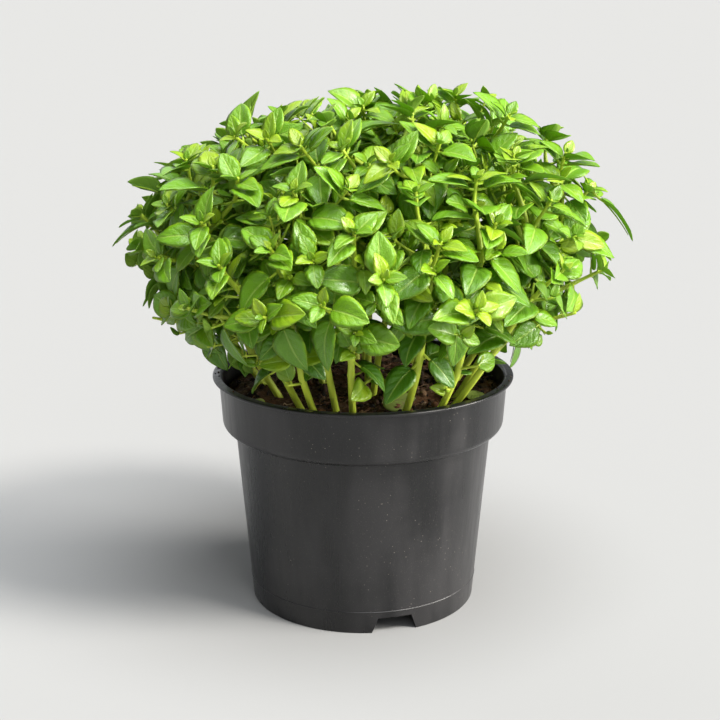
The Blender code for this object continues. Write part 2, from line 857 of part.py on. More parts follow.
def make_soil(made, tubes):
    """Soil that fills the pot, heaped a little, with a plain hole for each stem."""
    rng = Random(SEED + 1)
    waves = [(rng.uniform(60, 210), rng.uniform(-pi, pi), rng.uniform(-pi, pi)) for _ in range(6)]

    def lumps(x, y):
        height = 0.0
        for pitch, bearing, phase in waves:
            height += sin(pitch * (x * cos(bearing) + y * sin(bearing)) + phase)
        return SOIL_LUMP * height / 3

    top, *side = [(radius - SOIL_INSET, z + CLEARANCE) for radius, z in pot_inside()]
    side.reverse()
    share = (SOIL_EDGE - side[-1][1]) / (top[1] - side[-1][1])
    edge = side[-1][0] + (top[0] - side[-1][0]) * share
    profile = [(0.0, side[0][1])] + side + [(edge, SOIL_EDGE)]
    soil = turned_solid("soil", profile, SOIL_SEGMENTS, made)
    mesh = bmesh.new()
    mesh.from_mesh(soil.data)
    rim = [corner for corner in mesh.verts if abs(corner.co.z - SOIL_EDGE) < 1e-5]
    rim.sort(key=lambda v: atan2(v.co.y, v.co.x))
    previous = rim
    for k in range(1, SOIL_RINGS + 1):
        share = 1 - k / SOIL_RINGS
        if share == 0:
            x = y = 0.0
            centre = mesh.verts.new((0, 0, SOIL_LEVEL + SOIL_CROWN + lumps(0, 0)))
            for j in range(SOIL_SEGMENTS):
                mesh.faces.new((previous[j], previous[(j + 1) % SOIL_SEGMENTS], centre))
            break
        ring = []
        for corner in rim:
            x, y = corner.co.x * share, corner.co.y * share
            ring.append(mesh.verts.new((x, y, SOIL_LEVEL + SOIL_CROWN * (1 - share * share) + lumps(x, y))))
        for j in range(SOIL_SEGMENTS):
            n = (j + 1) % SOIL_SEGMENTS
            mesh.faces.new((previous[j], previous[n], ring[n], ring[j]))
        previous = ring
    mesh.to_mesh(soil.data)
    mesh.free()
    cutters = new_collection("stem_holes")
    for tube in tubes:
        if tube.points[0].z > SOIL_LEVEL:
            continue
        foot, collar = tube.points[0], tube.points[1]
        way = (collar - foot).normalized()
        ends = [foot - way * HOLE_EXTRA_DEPTH, collar + way * 0.001]
        points, faces = tube_mesh(ends, [STEM_RADIUS + HOLE_GAP] * 2, 6)
        mesh_object("hole", points, faces, None, cutters)
    boolean(soil, "DIFFERENCE", cutters)
    keep_largest_shell(soil)
    shade(soil, 50)
    return soil


def make_stem(number, made, shoots):
    """One leafy stem: its stem and side shoots with their blades, fused into one solid."""
    name = f"stem_{number:02d}"
    obj = mesh_object(name, *leafy_shoot_mesh(*shoots[0]), made)
    if len(shoots) > 1:
        parts = new_collection(name + "_growth")
        for shoot in shoots[1:]:
            mesh_object("shoot", *leafy_shoot_mesh(*shoot), made, parts)
        boolean(obj, "UNION", parts)
        keep_largest_shell(obj)
    shade(obj, 25)
    return obj


def main():
    clear_scene()
    plastic = material("pot_plastic", (0.012, 0.012, 0.013), 0.42)
    peat = material("peat", (0.035, 0.022, 0.015), 0.95)
    green = material("basil_green", (0.10, 0.22, 0.035), 0.42)
    tubes, leaves = plan_plant()
    make_pot(plastic)
    make_soil(peat, tubes)
    stems = sorted({tube.stem for tube in tubes})
    for number, stem in enumerate(stems, 1):
        shoots = [
            (tube, [leaf for leaf in leaves if leaf.tube == index])
            for index, tube in enumerate(tubes)
            if tube.stem == stem
        ]
        make_stem(number, green, shoots)


main()
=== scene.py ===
"""Looks of the potted basil: the plant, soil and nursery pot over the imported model's frame.

Everything is in metres in the model's own frame: the pot's axis is the Z axis, it stands at
height 0, and the front faces -Y.
"""

import json
from dataclasses import dataclass
from math import acos, atan2, cos, exp, hypot, pi, radians, sin, sqrt, tan
from random import Random

import bmesh
import bpy
import numpy as np
from bpy.props import FloatProperty, FloatVectorProperty, PointerProperty
from bpy.types import Operator, Panel, PropertyGroup
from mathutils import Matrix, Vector, noise
from mathutils.bvhtree import BVHTree

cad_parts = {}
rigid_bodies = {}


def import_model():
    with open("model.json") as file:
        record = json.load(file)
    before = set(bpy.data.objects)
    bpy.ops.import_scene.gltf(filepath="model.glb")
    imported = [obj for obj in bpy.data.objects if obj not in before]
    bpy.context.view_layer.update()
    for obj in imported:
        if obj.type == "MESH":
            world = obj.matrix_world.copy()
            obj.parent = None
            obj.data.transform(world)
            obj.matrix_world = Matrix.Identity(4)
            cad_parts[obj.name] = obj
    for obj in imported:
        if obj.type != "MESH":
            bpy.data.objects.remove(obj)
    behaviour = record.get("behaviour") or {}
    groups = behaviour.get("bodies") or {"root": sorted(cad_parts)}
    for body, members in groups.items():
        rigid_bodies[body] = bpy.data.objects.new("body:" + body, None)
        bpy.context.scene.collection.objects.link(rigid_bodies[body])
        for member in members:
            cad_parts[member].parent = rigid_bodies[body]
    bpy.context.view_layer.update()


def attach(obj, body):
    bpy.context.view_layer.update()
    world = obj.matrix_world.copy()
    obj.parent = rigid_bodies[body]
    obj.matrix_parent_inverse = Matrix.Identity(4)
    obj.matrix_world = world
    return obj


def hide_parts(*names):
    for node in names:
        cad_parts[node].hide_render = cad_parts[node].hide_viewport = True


bl_info = {
    "name": "Potted basil",
    "version": (1, 0, 0),
    "blender": (4, 5, 0),
    "location": "3D View > Sidebar > Basil",
    "description": "Builds a bushy basil in a nursery pot with its soil, lights and camera",
    "category": "Object",
}

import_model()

# Pot, driving dimensions
POT_HEIGHT = 0.101
LIP_RADIUS = 0.065
LIP_THICKNESS = 0.0014
COLLAR_TOP_RADIUS = 0.0623
COLLAR_FOOT_RADIUS = 0.0611
COLLAR_FOOT_HEIGHT = 0.081
BODY_TOP_RADIUS = 0.0556
BODY_TOP_HEIGHT = 0.0768
FOOT_RADIUS = 0.0491
WALL = 0.0015
FLOOR_UNDERSIDE = 0.0086
FLOOR_THICKNESS = 0.0016

# Drainage: notches through the foot skirt and round holes through the raised floor
NOTCH_COUNT = 3
NOTCH_BEARING = 15.8
NOTCH_FOOT_WIDTH = 0.0195
NOTCH_TOP_WIDTH = 0.0145
NOTCH_HEIGHT = 0.007
DRAIN_COUNT = 3
DRAIN_RADIUS = 0.0045
DRAIN_CIRCLE = 0.030

# Soil
CLEARANCE = 0.0003
SOIL_LEVEL = 0.0935
SOIL_EDGE = 0.0918
SOIL_CROWN = 0.0022

# Stems: where they stand in the soil, and how thick they are
STEM_FOOT = 0.081
STEM_COLLAR = 0.0985
STEM_RADIUS = 0.00175
STEM_TIP_RADIUS = 0.00105
SHOOT_RADIUS = 0.00125
LEAN_REACH = 0.060

# The feet seen over the front of the rim, as (sideways, in front of the axis)
FRONT_FEET = (
    (-0.0245, 0.0385),
    (-0.0190, 0.0440),
    (-0.0105, 0.0415),
    (-0.0040, 0.0460),
    (0.0165, 0.0430),
    (0.0240, 0.0380),
    (0.0292, 0.0430),
    (0.0360, 0.0345),
)
# The other feet: an arc of them behind, a ring inside it and one in the middle
BACK_FEET = 9
BACK_FEET_RADIUS = 0.0405
BACK_ARC = (62.0, 298.0)
INNER_FEET = 4
INNER_FEET_RADIUS = 0.0195
INNER_FEET_START = 8.0
MIDDLE_FOOT = (0.002, 0.003)

# Crown: the surface on which the shoots end, as half axes about its centre. No tip of the plan is
# below the lowest height angle, which is higher over an arc in front, where the stems show
CROWN_CENTRE = Vector((0.001, 0.0, 0.148))
CROWN_WIDE = 0.100
CROWN_DEEP = 0.094
CROWN_UP = 0.0695
CROWN_DOWN = 0.044
CROWN_LOWEST = -13.0
FRONT_LOWEST = -2.0
FRONT_HALF_ARC = 50.0
# Its lobes, two at the right and one at the left, and the shallow dip between them, as (way from
# the centre, how far out as a share, how wide)
LOBES = (
    (Vector((0.43, -0.05, 0.90)).normalized(), 0.08, 0.06),
    (Vector((-0.60, -0.25, 0.76)).normalized(), 0.02, 0.05),
    (Vector((-0.24, -0.08, 0.97)).normalized(), -0.08, 0.03),
    (Vector((0.80, -0.10, 0.58)).normalized(), 0.10, 0.06),
)
# The plan's leaf pairs and its gap and axil shoots are kept inside this box; the noted leaves and the
# side shoots that grow_tubes makes are not tested against it
BOX_LEFT = -0.1075
BOX_RIGHT = 0.1090
BOX_DEEP = 0.1040
BOX_TOP = 0.2240

# The crown draws in towards the pot: the widest it may be at a lower and an upper height, as
# (height, radius)
SKIRT_LOW = (0.113, 0.072)
SKIRT_HIGH = (0.150, 0.110)

# The shoot tips seen from the front, as (bearing, height angle) in degrees: bearing 0 is the
# front, 90 the right. The rest are spread evenly, so many in all, each the best of some trials
FRONT_SHOOTS = (
    (-55, 33), (-62, 44), (-44, 46), (-27, 45), (-28, 62), (-21, 29),
    (-23, 14), (-36, 9), (-45, 18), (-63, 20), (-72, 8), (-10, 2),
    (-3, 19), (-76, 32), (-41, 31), (-45, -2), (35, 65), (98, 62),
    (76, 47), (92, 36), (8, 39), (31, 46), (35, 32), (14, 29),
    (4, 8), (18, 16), (34, 19), (56, 22), (84, 20), (52, 6),
    (26, 0), (60, -6), (-10, 45),
)
SHOOTS = 80
SHOOT_TRIALS = 60
SHOOTS_PER_STEM = 6

# How the tubes run: points along a stem and a side shoot, the room kept between stems, and the
# height angle that a stem makes for, which falls the further from the axis it stands
STEM_STEPS = 5
SHOOT_STEPS = 3
TUBE_GAP = 0.0009
TUBE_TRIES = 30
STEM_AIM_TOP = 80.0
STEM_AIM_FALL = 68.0
STEM_AIM_RADIUS = 0.045
# How far a tube runs on from its start, and into its tip, as shares of its span
STEM_HANDLES = (0.38, 0.32)
SHOOT_HANDLES = (0.33, 0.34)
GAP_HANDLES = (0.35, 0.30)
# A tip grows outwards and up, in these shares
TIP_OUTWARD = 0.70
TIP_UPWARD = 0.48
# A side shoot starts at least this far above the stem's collar. A longer shoot costs more, and so
# does each radian that it turns past an easy angle
SHOOT_LOWEST = 0.012
EASY_TURN = 48.0
TURN_COST = 0.030

# Leaves of one pair down the shoot after another: distance back from the tip, blade length, stalk
# length, rise above the shoot's cross plane in degrees, and how far the blade bends down
LEAF_RANKS = (
    (0.0050, 0.0145, 0.0030, 20.0, 0.14),
    (0.0130, 0.0180, 0.0042, -6.0, 0.22),
)
LEAF_WIDTH = 0.64
LEAF_FOLD = 26.0
LEAF_THICKNESS = 0.0008
LEAF_TRIES = 26
# How much one leaf differs from the next, from and to
LEAF_SIZES = (0.86, 1.14)
LEAF_WIDTHS = (0.92, 1.1)
NECK_LENGTHS = (0.8, 1.25)
FOLD_SPREAD = (-9, 7)
CURL_SPREAD = (-0.06, 0.10)
# After so many tries a leaf is made smaller, to find room
SMALLER_AFTER = 12
SMALLER_LEAF = 0.86
# The share of a shoot, from its tip down, on which leaf pairs grow
LEAFY_SHARE = 0.8
NECK_HALF_WIDTH = 0.00055
# A blade is kept clear of its neighbours from this far along its stalk
NECK_CLEAR = 0.0021
# Two places along a blade, with its width there, as shares of its length and its width
BLADE_STATIONS = ((0.17, 0.74), (0.56, 0.94))
PROXY_MARGIN = 0.00025

SEED = 61


def aim(bearing, height):
    """Unit direction for a bearing and a height angle in degrees."""
    b, h = radians(bearing), radians(height)
    return Vector((sin(b) * cos(h), -cos(b) * cos(h), sin(h)))


def squared(way, along):
    """The part of a way that is square to another, as a unit vector."""
    return (way - along * way.dot(along)).normalized()


def crown_point(direction):
    """Point of the crown's surface in a direction from its centre."""
    x, y = direction.x / CROWN_WIDE, direction.y / CROWN_DEEP
    z = direction.z / (CROWN_UP if direction.z > 0 else CROWN_DOWN)
    reach = 1 / sqrt(x ** 2 + y ** 2 + z ** 2)
    for lobe, gain, spread in LOBES:
        reach *= 1 + gain * exp((direction.dot(lobe) - 1) / spread)
    return CROWN_CENTRE + direction * reach


def shoot_directions(rng):
    """Directions of all shoot tips: those seen from the front, then an even fill of the rest."""
    chosen = [aim(bearing, height) for bearing, height in FRONT_SHOOTS]
    lowest = sin(radians(CROWN_LOWEST))
    while len(chosen) < SHOOTS:
        best, best_gap = None, -1.0
        for _ in range(SHOOT_TRIALS):
            z = rng.uniform(lowest, 1.0)
            b = rng.uniform(-pi, pi)
            flat = sqrt(1 - z * z)
            if abs(b) < radians(FRONT_HALF_ARC) and z < sin(radians(FRONT_LOWEST)):
                continue
            trial = Vector((sin(b) * flat, -cos(b) * flat, z))
            point = crown_point(trial)
            gap = min((point - crown_point(other)).length for other in chosen)
            if gap > best_gap:
                best, best_gap = trial, gap
        chosen.append(best)
    return chosen


def stem_feet(rng):
    """Where each stem stands in the soil, as (x, y)."""
    feet = [(x, -front) for x, front in FRONT_FEET]
    first, last = BACK_ARC
    for k in range(BACK_FEET):
        bearing = radians(first + (last - first) * k / (BACK_FEET - 1) + rng.uniform(-5, 5))
        radius = BACK_FEET_RADIUS + rng.uniform(-0.004, 0.004)
        feet.append((sin(bearing) * radius, -cos(bearing) * radius))
    for k in range(INNER_FEET):
        bearing = radians(INNER_FEET_START + 360 * k / INNER_FEET + rng.uniform(-14, 14))
        radius = INNER_FEET_RADIUS + rng.uniform(-0.003, 0.003)
        feet.append((sin(bearing) * radius, -cos(bearing) * radius))
    feet.append(MIDDLE_FOOT)
    return feet


@dataclass
class Tube:
    """A stem or a side shoot: its points, its radius at each, and the way its first side faces."""

    stem: int
    points: list
    radii: list
    facing: Vector

    def place(self, back):
        """Point, direction and radius at a distance back from the tip."""
        points, radii = self.points, self.radii
        for k in range(len(points) - 1, 0, -1):
            step = points[k] - points[k - 1]
            if back <= step.length or k == 1:
                share = min(1.0, back / step.length)
                radius = radii[k] + (radii[k - 1] - radii[k]) * share
                return points[k] - step * share, step.normalized(), radius
            back -= step.length

    def sides(self, axis):
        """The two directions across the tube that its first and second side face."""
        first = squared(self.facing, axis)
        return first, axis.cross(first)

    def bends(self):
        """Distances back from the tip of the points along the tube."""
        backs = [0.0]
        for a, b in zip(reversed(self.points[:-1]), reversed(self.points[1:])):
            backs.append(backs[-1] + (b - a).length)
        return backs

    def length(self):
        return self.bends()[-1]


@dataclass
class Leaf:
    """A leaf: where it grows from, its direction and upper side, and its sizes."""

    tube: int
    back: float
    quarter: int
    root: Vector
    along: Vector
    up: Vector
    neck: float
    length: float
    width: float
    fold: float
    curl: float
    rank: int
    age: float = 0.5


def bezier(a, b, c, d, t):
    s = 1 - t
    return a * s ** 3 + b * (3 * s * s * t) + c * (3 * s * t * t) + d * t ** 3


def growing_way(direction):
    """Direction in which a shoot's tip grows: outwards, and turned up towards the light."""
    return (direction * TIP_OUTWARD + Vector((0, 0, TIP_UPWARD))).normalized()


def samples(points, radii, step=0.002):
    """Points close together along a tube, each with its radius."""
    out = []
    for (a, ra), (b, rb) in zip(zip(points, radii), zip(points[1:], radii[1:])):
        count = max(1, int((b - a).length / step))
        for k in range(count + 1):
            t = k / count
            out.append((a.lerp(b, t), ra + (rb - ra) * t))
    return out


def tube_is_clear(stem, trial, placed):
    for other_stem, others in placed:
        if other_stem == stem:
            continue
        for p, pr in trial:
            for q, qr in others:
                reach = pr + qr + TUBE_GAP
                if (p - q).length_squared < reach * reach:
                    return False
    return True


def jitter(rng, size):
    return Vector((rng.uniform(-size, size), rng.uniform(-size, size), rng.uniform(-size, size)))


def stem_curve(foot, tip, tip_direction, rng, loose):
    """Points from the foot in the soil, straight through the soil's surface, then curved to the tip."""
    lean = Vector((foot[0] / LEAN_REACH, foot[1] / LEAN_REACH, 1.0))
    base = Vector((foot[0], foot[1], SOIL_LEVEL)) + lean * (STEM_FOOT - SOIL_LEVEL)
    collar = Vector((foot[0], foot[1], SOIL_LEVEL)) + lean * (STEM_COLLAR - SOIL_LEVEL)
    span = (tip - collar).length
    first = collar + lean.normalized() * span * STEM_HANDLES[0] + jitter(rng, loose)
    second = tip - tip_direction * span * STEM_HANDLES[1] + jitter(rng, loose)
    curve = [bezier(collar, first, second, tip, k / STEM_STEPS) for k in range(STEM_STEPS + 1)]
    return [base] + curve


def shoot_curve(start, first, second, tip, radius, tip_radius):
    """Points along a side shoot, and its radius at each."""
    points = [bezier(start, first, second, tip, k / SHOOT_STEPS) for k in range(SHOOT_STEPS + 1)]
    radii = [radius + (tip_radius - radius) * k / SHOOT_STEPS for k in range(SHOOT_STEPS + 1)]
    return points, radii


def shoot_start(main, tip):
    """Place on the stem where a side shoot for this tip leaves at an easy angle."""
    best, best_cost = None, 1e9
    total = main.length()
    for k in range(3, 14):
        back = total * k / 20
        point, tangent, _ = main.place(back)
        if point.z < STEM_COLLAR + SHOOT_LOWEST:
            continue
        way = tip - point
        turn = acos(max(-1.0, min(1.0, way.normalized().dot(tangent))))
        cost = way.length + TURN_COST * max(0.0, turn - radians(EASY_TURN))
        if cost < best_cost:
            best, best_cost = (point, tangent), cost
    return best


def facing_of(points, rng):
    """A direction across the tube's tip, turned at random round it."""
    axis = (points[-1] - points[-2]).normalized()
    first = axis.orthogonal().normalized()
    turn = rng.uniform(-pi, pi)
    return first * cos(turn) + axis.cross(first) * sin(turn)


def grow_tubes(rng):
    """All stems and side shoots, clear of other stems; a shoot that finds no way is left out."""
    directions = shoot_directions(rng)
    feet = stem_feet(rng)
    aims = []
    for x, y in feet:
        radius = hypot(x, y)
        bearing = atan2(x, -y) * 180 / pi
        aims.append(aim(bearing, STEM_AIM_TOP - STEM_AIM_FALL * min(1.0, radius / STEM_AIM_RADIUS)))
    pairs = sorted(
        (1 - direction.dot(target), tip, stem)
        for tip, direction in enumerate(directions)
        for stem, target in enumerate(aims)
    )
    owner, held = {}, {stem: [] for stem in range(len(feet))}
    for _, tip, stem in pairs:
        if tip not in owner and len(held[stem]) < SHOOTS_PER_STEM:
            owner[tip] = stem
            held[stem].append(tip)
    tubes, placed = [], []
    for stem, tips in held.items():
        if not tips:
            continue
        lead = tips[0]
        for attempt in range(TUBE_TRIES):
            loose = 0.0006 * attempt
            direction = directions[lead]
            tip = crown_point(direction) + jitter(rng, loose * 0.4)
            points = stem_curve(feet[stem], tip, growing_way(direction), rng, loose)
            steps = len(points) - 1
            narrowing = STEM_TIP_RADIUS - STEM_RADIUS
            radii = [STEM_RADIUS + narrowing * (k / steps) ** 1.5 for k in range(steps + 1)]
            trial = samples(points, radii)
            if tube_is_clear(stem, trial, placed):
                tubes.append(Tube(stem, points, radii, facing_of(points, rng)))
                placed.append((stem, trial))
                break
        else:
            raise RuntimeError(f"no clear way for stem {stem}")
    mains = list(tubes)
    for main in mains:
        for tip_index in held[main.stem][1:]:
            direction = directions[tip_index]
            for attempt in range(TUBE_TRIES):
                loose = 0.0005 * attempt
                tip = crown_point(direction) + jitter(rng, loose * 0.5)
                start, tangent = shoot_start(main, tip + jitter(rng, loose))
                span = (tip - start).length
                out = ((tip - start).normalized() + tangent * 0.5).normalized()
                first = start + out * span * SHOOT_HANDLES[0] + jitter(rng, loose)
                second = tip - growing_way(direction) * span * SHOOT_HANDLES[1] + jitter(rng, loose)
                points, radii = shoot_curve(start, first, second, tip, SHOOT_RADIUS, STEM_TIP_RADIUS)
                trial = samples(points, radii)
                if tube_is_clear(main.stem, trial, placed):
                    tubes.append(Tube(main.stem, points, radii, facing_of(points, rng)))
                    placed.append((main.stem, trial))
                    break
    return tubes


def blade_points(leaf, grow=0.0, start=0.0):
    """Upper-side points of a blade: the outline round from the neck's left, then the midrib."""
    side = leaf.up.cross(leaf.along)

    def at(distance, half_width, raised):
        share = max(0.0, (distance - leaf.neck) / leaf.length)
        sink = leaf.curl * leaf.length * share * share
        return (
            leaf.root
            + leaf.along * distance
            + side * half_width
            + leaf.up * (abs(half_width) * raised - sink)
        )

    slope = tan(radians(leaf.fold))
    half = leaf.width / 2
    neck_half = NECK_HALF_WIDTH + grow
    (s1, w1), (s2, w2) = BLADE_STATIONS
    d1 = leaf.neck + leaf.length * s1
    d2 = leaf.neck + leaf.length * s2
    tip = leaf.neck + leaf.length + grow
    outline = [
        at(start, neck_half, 0.0),
        at(start, -neck_half, 0.0),
        at(d1, -half * w1 - grow, slope),
        at(d2, -half * w2 - grow, slope),
        at(tip, 0.0, 0.0),
        at(d2, half * w2 + grow, slope),
        at(d1, half * w1 + grow, slope),
    ]
    return outline + [at(d1, 0.0, 0.0), at(d2, 0.0, 0.0)]


BLADE_FACES = (
    (0, 7, 1),
    (1, 7, 2),
    (0, 6, 7),
    (2, 7, 8),
    (2, 8, 3),
    (6, 5, 8),
    (6, 8, 7),
    (3, 8, 4),
    (5, 4, 8),
)
BLADE_RIM = 7


def blade_mesh(leaf, grow=0.0, start=0.0):
    """Closed thin solid of a blade: the same triangles above and below, joined round the rim."""
    top = blade_points(leaf, grow, start)
    half_thickness = leaf.up * (LEAF_THICKNESS / 2 + grow)
    count = len(top)
    points = [p + half_thickness for p in top] + [p - half_thickness for p in top]
    faces = [tuple(reversed(face)) for face in BLADE_FACES]
    faces += [tuple(k + count for k in face) for face in BLADE_FACES]
    for k in range(BLADE_RIM):
        n = (k + 1) % BLADE_RIM
        faces.append((k, n + count, n))
        faces.append((k, k + count, n + count))
    return points, faces


def tube_mesh(points, radii, sides, grow=0.0):
    """Closed tube round a run of points, with a flat cap at each end."""
    rings = []
    reference = None
    for k, point in enumerate(points):
        ahead = points[min(k + 1, len(points) - 1)] - points[max(k - 1, 0)]
        ahead.normalize()
        if reference is None:
            reference = ahead.orthogonal()
        across = reference = squared(reference, ahead)
        other = ahead.cross(across)
        ring = []
        for j in range(sides):
            angle = 2 * pi * j / sides
            ring.append(point + (across * cos(angle) + other * sin(angle)) * (radii[k] + grow))
        rings.append(ring)
    flat = [p for ring in rings for p in ring]
    faces = []
    for k in range(len(rings) - 1):
        for j in range(sides):
            n = (j + 1) % sides
            a, b = k * sides + j, k * sides + n
            faces.append((a, b, b + sides))
            faces.append((a, b + sides, a + sides))
    last = (len(rings) - 1) * sides
    for j in range(1, sides - 1):
        faces.append((0, j + 1, j))
        faces.append((last, last + j, last + j + 1))
    return flat, faces


class Proxy:
    """Slightly swollen copy of a solid, to keep its neighbours clear of it."""

    def __init__(self, owner, points, faces):
        self.owner = owner
        self.tree = BVHTree.FromPolygons(points, faces)
        self.centre = sum(points, Vector()) / len(points)
        self.reach = max((p - self.centre).length for p in points)

    def meets(self, other):
        near = self.reach + other.reach
        if (self.centre - other.centre).length_squared > near * near:
            return False
        return bool(self.tree.overlap(other.tree))


def leaf_at(tube_index, tube, back, quarter, length, neck, rise, curl, rank, rng, loose):
    """A leaf that grows from a tube, turned towards the light."""
    root, axis, _ = tube.place(back)
    first, second = tube.sides(axis)
    rise_angle = radians(rise + rng.uniform(-8, 8) * (1 + loose))
    turn = quarter * pi / 2 + radians(rng.uniform(-9, 9) * (1 + 2.2 * loose))
    along = (first * cos(turn) + second * sin(turn)) * cos(rise_angle) + axis * sin(rise_angle)
    outward = (root - CROWN_CENTRE).normalized()
    light = axis * 0.85 + outward * 0.3 + Vector((0, 0, 0.4)) + jitter(rng, 0.22 + 0.25 * loose)
    blade = length * rng.uniform(*LEAF_SIZES)
    return Leaf(
        tube=tube_index,
        back=back,
        quarter=quarter,
        root=root,
        along=along,
        up=squared(light, along),
        neck=neck * rng.uniform(*NECK_LENGTHS),
        length=blade,
        width=blade * LEAF_WIDTH * rng.uniform(*LEAF_WIDTHS),
        fold=LEAF_FOLD + rng.uniform(*FOLD_SPREAD),
        curl=curl + rng.uniform(*CURL_SPREAD),
        rank=rank,
    )


def skirt_radius(z):
    """The widest that the crown may be at a height, with no limit above the upper one."""
    share = (z - SKIRT_LOW[0]) / (SKIRT_HIGH[0] - SKIRT_LOW[0])
    if share > 1:
        return 1.0
    return SKIRT_LOW[1] + (SKIRT_HIGH[1] - SKIRT_LOW[1]) * max(0.0, share)


def inside_box(points):
    return all(
        BOX_LEFT < p.x < BOX_RIGHT
        and abs(p.y) < BOX_DEEP
        and POT_HEIGHT + 0.002 < p.z < BOX_TOP
        and hypot(p.x, p.y) < skirt_radius(p.z)
        for p in points
    )


def leaf_is_clear(leaf, proxies):
    points, faces = blade_mesh(leaf, PROXY_MARGIN, NECK_CLEAR)
    if not inside_box(points):
        return None
    trial = Proxy(None, points, faces)
    for proxy in proxies:
        if proxy.owner == leaf.tube:
            continue
        if trial.meets(proxy):
            return None
    return trial


def grow_leaves(tubes, ranks, proxies, rng):
    """Leaf pairs down each shoot, each pair crossing the one above it, none through a neighbour."""
    leaves = []
    for rank, (back, length, neck, rise, curl) in enumerate(ranks):
        for index, tube in enumerate(tubes):
            gap = back * rng.uniform(0.85, 1.15)
            if gap > tube.length() * LEAFY_SHARE:
                continue
            for quarter in (rank % 2, rank % 2 + 2):
                for attempt in range(LEAF_TRIES):
                    loose = attempt / 10
                    shrink = 1.0 if attempt < SMALLER_AFTER else SMALLER_LEAF
                    leaf = leaf_at(
                        index, tube, gap, quarter, length * shrink, neck, rise, curl, rank, rng, loose
                    )
                    trial = leaf_is_clear(leaf, proxies)
                    if trial:
                        leaves.append(leaf)
                        proxies.append(trial)
                        break
    return leaves


# Further leaf pairs that only the looks have, as in LEAF_RANKS: the folded bud at each tip, and
# the older pairs lower down
BUD_RANKS = (
    (0.0026, 0.0110, 0.0014, 22.0, 0.12),
    (0.0013, 0.0076, 0.0008, 36.0, 0.08),
    (0.0005, 0.0045, 0.0004, 52.0, 0.03),
    (0.0001, 0.0025, 0.0002, 74.0, 0.00),
)
LOWER_RANKS = (
    (0.0195, 0.0180, 0.0050, -10.0, 0.22),
    (0.0262, 0.0180, 0.0054, -14.0, 0.24),
    (0.0335, 0.0175, 0.0056, -18.0, 0.26),
    (0.0410, 0.0170, 0.0058, -20.0, 0.26),
    (0.0500, 0.0160, 0.0058, -20.0, 0.28),
    (0.0600, 0.0155, 0.0055, -16.0, 0.26),
    (0.0710, 0.0145, 0.0050, -10.0, 0.24),
    (0.0830, 0.0130, 0.0045, -4.0, 0.22),
)
# In the looks leaf pairs grow nearer a shoot's foot, each try is a little smaller than the last,
# and a leaf that rises by more than this angle folds up by a share of the rest
FINER_LEAFY_SHARE = 0.92
SMALLER_EACH_TRY = 0.03
FOLDING_RISE = 30
FOLDING_SHARE = 0.45
# Side shoots in the leaf axils: how far back they start, their length and its spread
AXIL_BACKS = (0.0200, 0.0300, 0.0400, 0.0520, 0.0640, 0.0760, 0.0880)
AXIL_LENGTH = 0.0115
AXIL_LENGTHS = (0.6, 1.5)
AXIL_RADIUS = 0.00062
AXIL_TIP_RADIUS = 0.00042
AXIL_TRIES = 6
AXIL_CHANCE = 0.84
AXIL_RANKS = (
    (0.0028, 0.0120, 0.0020, 10.0, 0.14),
    (0.0012, 0.0076, 0.0009, 44.0, 0.05),
    (0.0003, 0.0040, 0.0003, 70.0, 0.00),
)
# The stems are bare below these heights: under the leaf pairs, and under the axil shoots
LOWEST_LEAF = 0.1125
LOWEST_AXIL = 0.1045
# Few blades and axil shoots are lower than these heights, so that the stems' feet show
BARE_HEIGHT = 0.1220
BARE_AXILS = 0.1240
BARE_SHARE = 0.86
# Extra shoots where the crown is open: places tried, the least room round a tip, how far down
# they reach, how many of the nearest stems are tried, their greatest length, their thickness, and
# how many leaves or shoots one may touch
GAP_TRIALS = 1600
GAP_LEAST = 0.0090
GAP_LOWEST = -14.0
GAP_STEMS = 4
GAP_LONGEST = 0.06
GAP_RADIUS = 0.0009
GAP_CROSSINGS = 1
GRID_CELL = 0.012
# Single leaves seen against the background, as (tip, stalk's end, width to length, fold, curl),
# with how old they look, as a distance back from a tip, and their longest stalk
NOTED_BACK = 0.022
NOTED_NECK = 0.007
NOTED_LEAVES = (
    ((0.1120, -0.0100, 0.1590), (0.1000, -0.0080, 0.1800), 0.34, 34.0, 0.16),
    ((-0.0920, -0.0080, 0.1300), (-0.0900, -0.0060, 0.1420), 0.62, 14.0, 0.02),
)


class ProxyGrid:
    """Proxies sorted in cells, so that only the near ones are tested."""

    def __init__(self, proxies):
        self.cells = {}
        for proxy in proxies:
            self.append(proxy)

    def keys(self, proxy):
        low = [int((c - proxy.reach) // GRID_CELL) for c in proxy.centre]
        high = [int((c + proxy.reach) // GRID_CELL) for c in proxy.centre]
        for i in range(low[0], high[0] + 1):
            for j in range(low[1], high[1] + 1):
                for k in range(low[2], high[2] + 1):
                    yield i, j, k

    def append(self, proxy):
        for key in self.keys(proxy):
            self.cells.setdefault(key, []).append(proxy)

    def near(self, proxy):
        found = {}
        for key in self.keys(proxy):
            for other in self.cells.get(key, ()):
                found[id(other)] = other
        return found.values()


def finer_leaf_is_clear(leaf, grid, start):
    points, faces = blade_mesh(leaf, 0.0, start)
    if not inside_box(points):
        return None
    trial = Proxy(None, points, faces)
    for proxy in grid.near(trial):
        if proxy.owner != leaf.tube and trial.meets(proxy):
            return None
    return trial


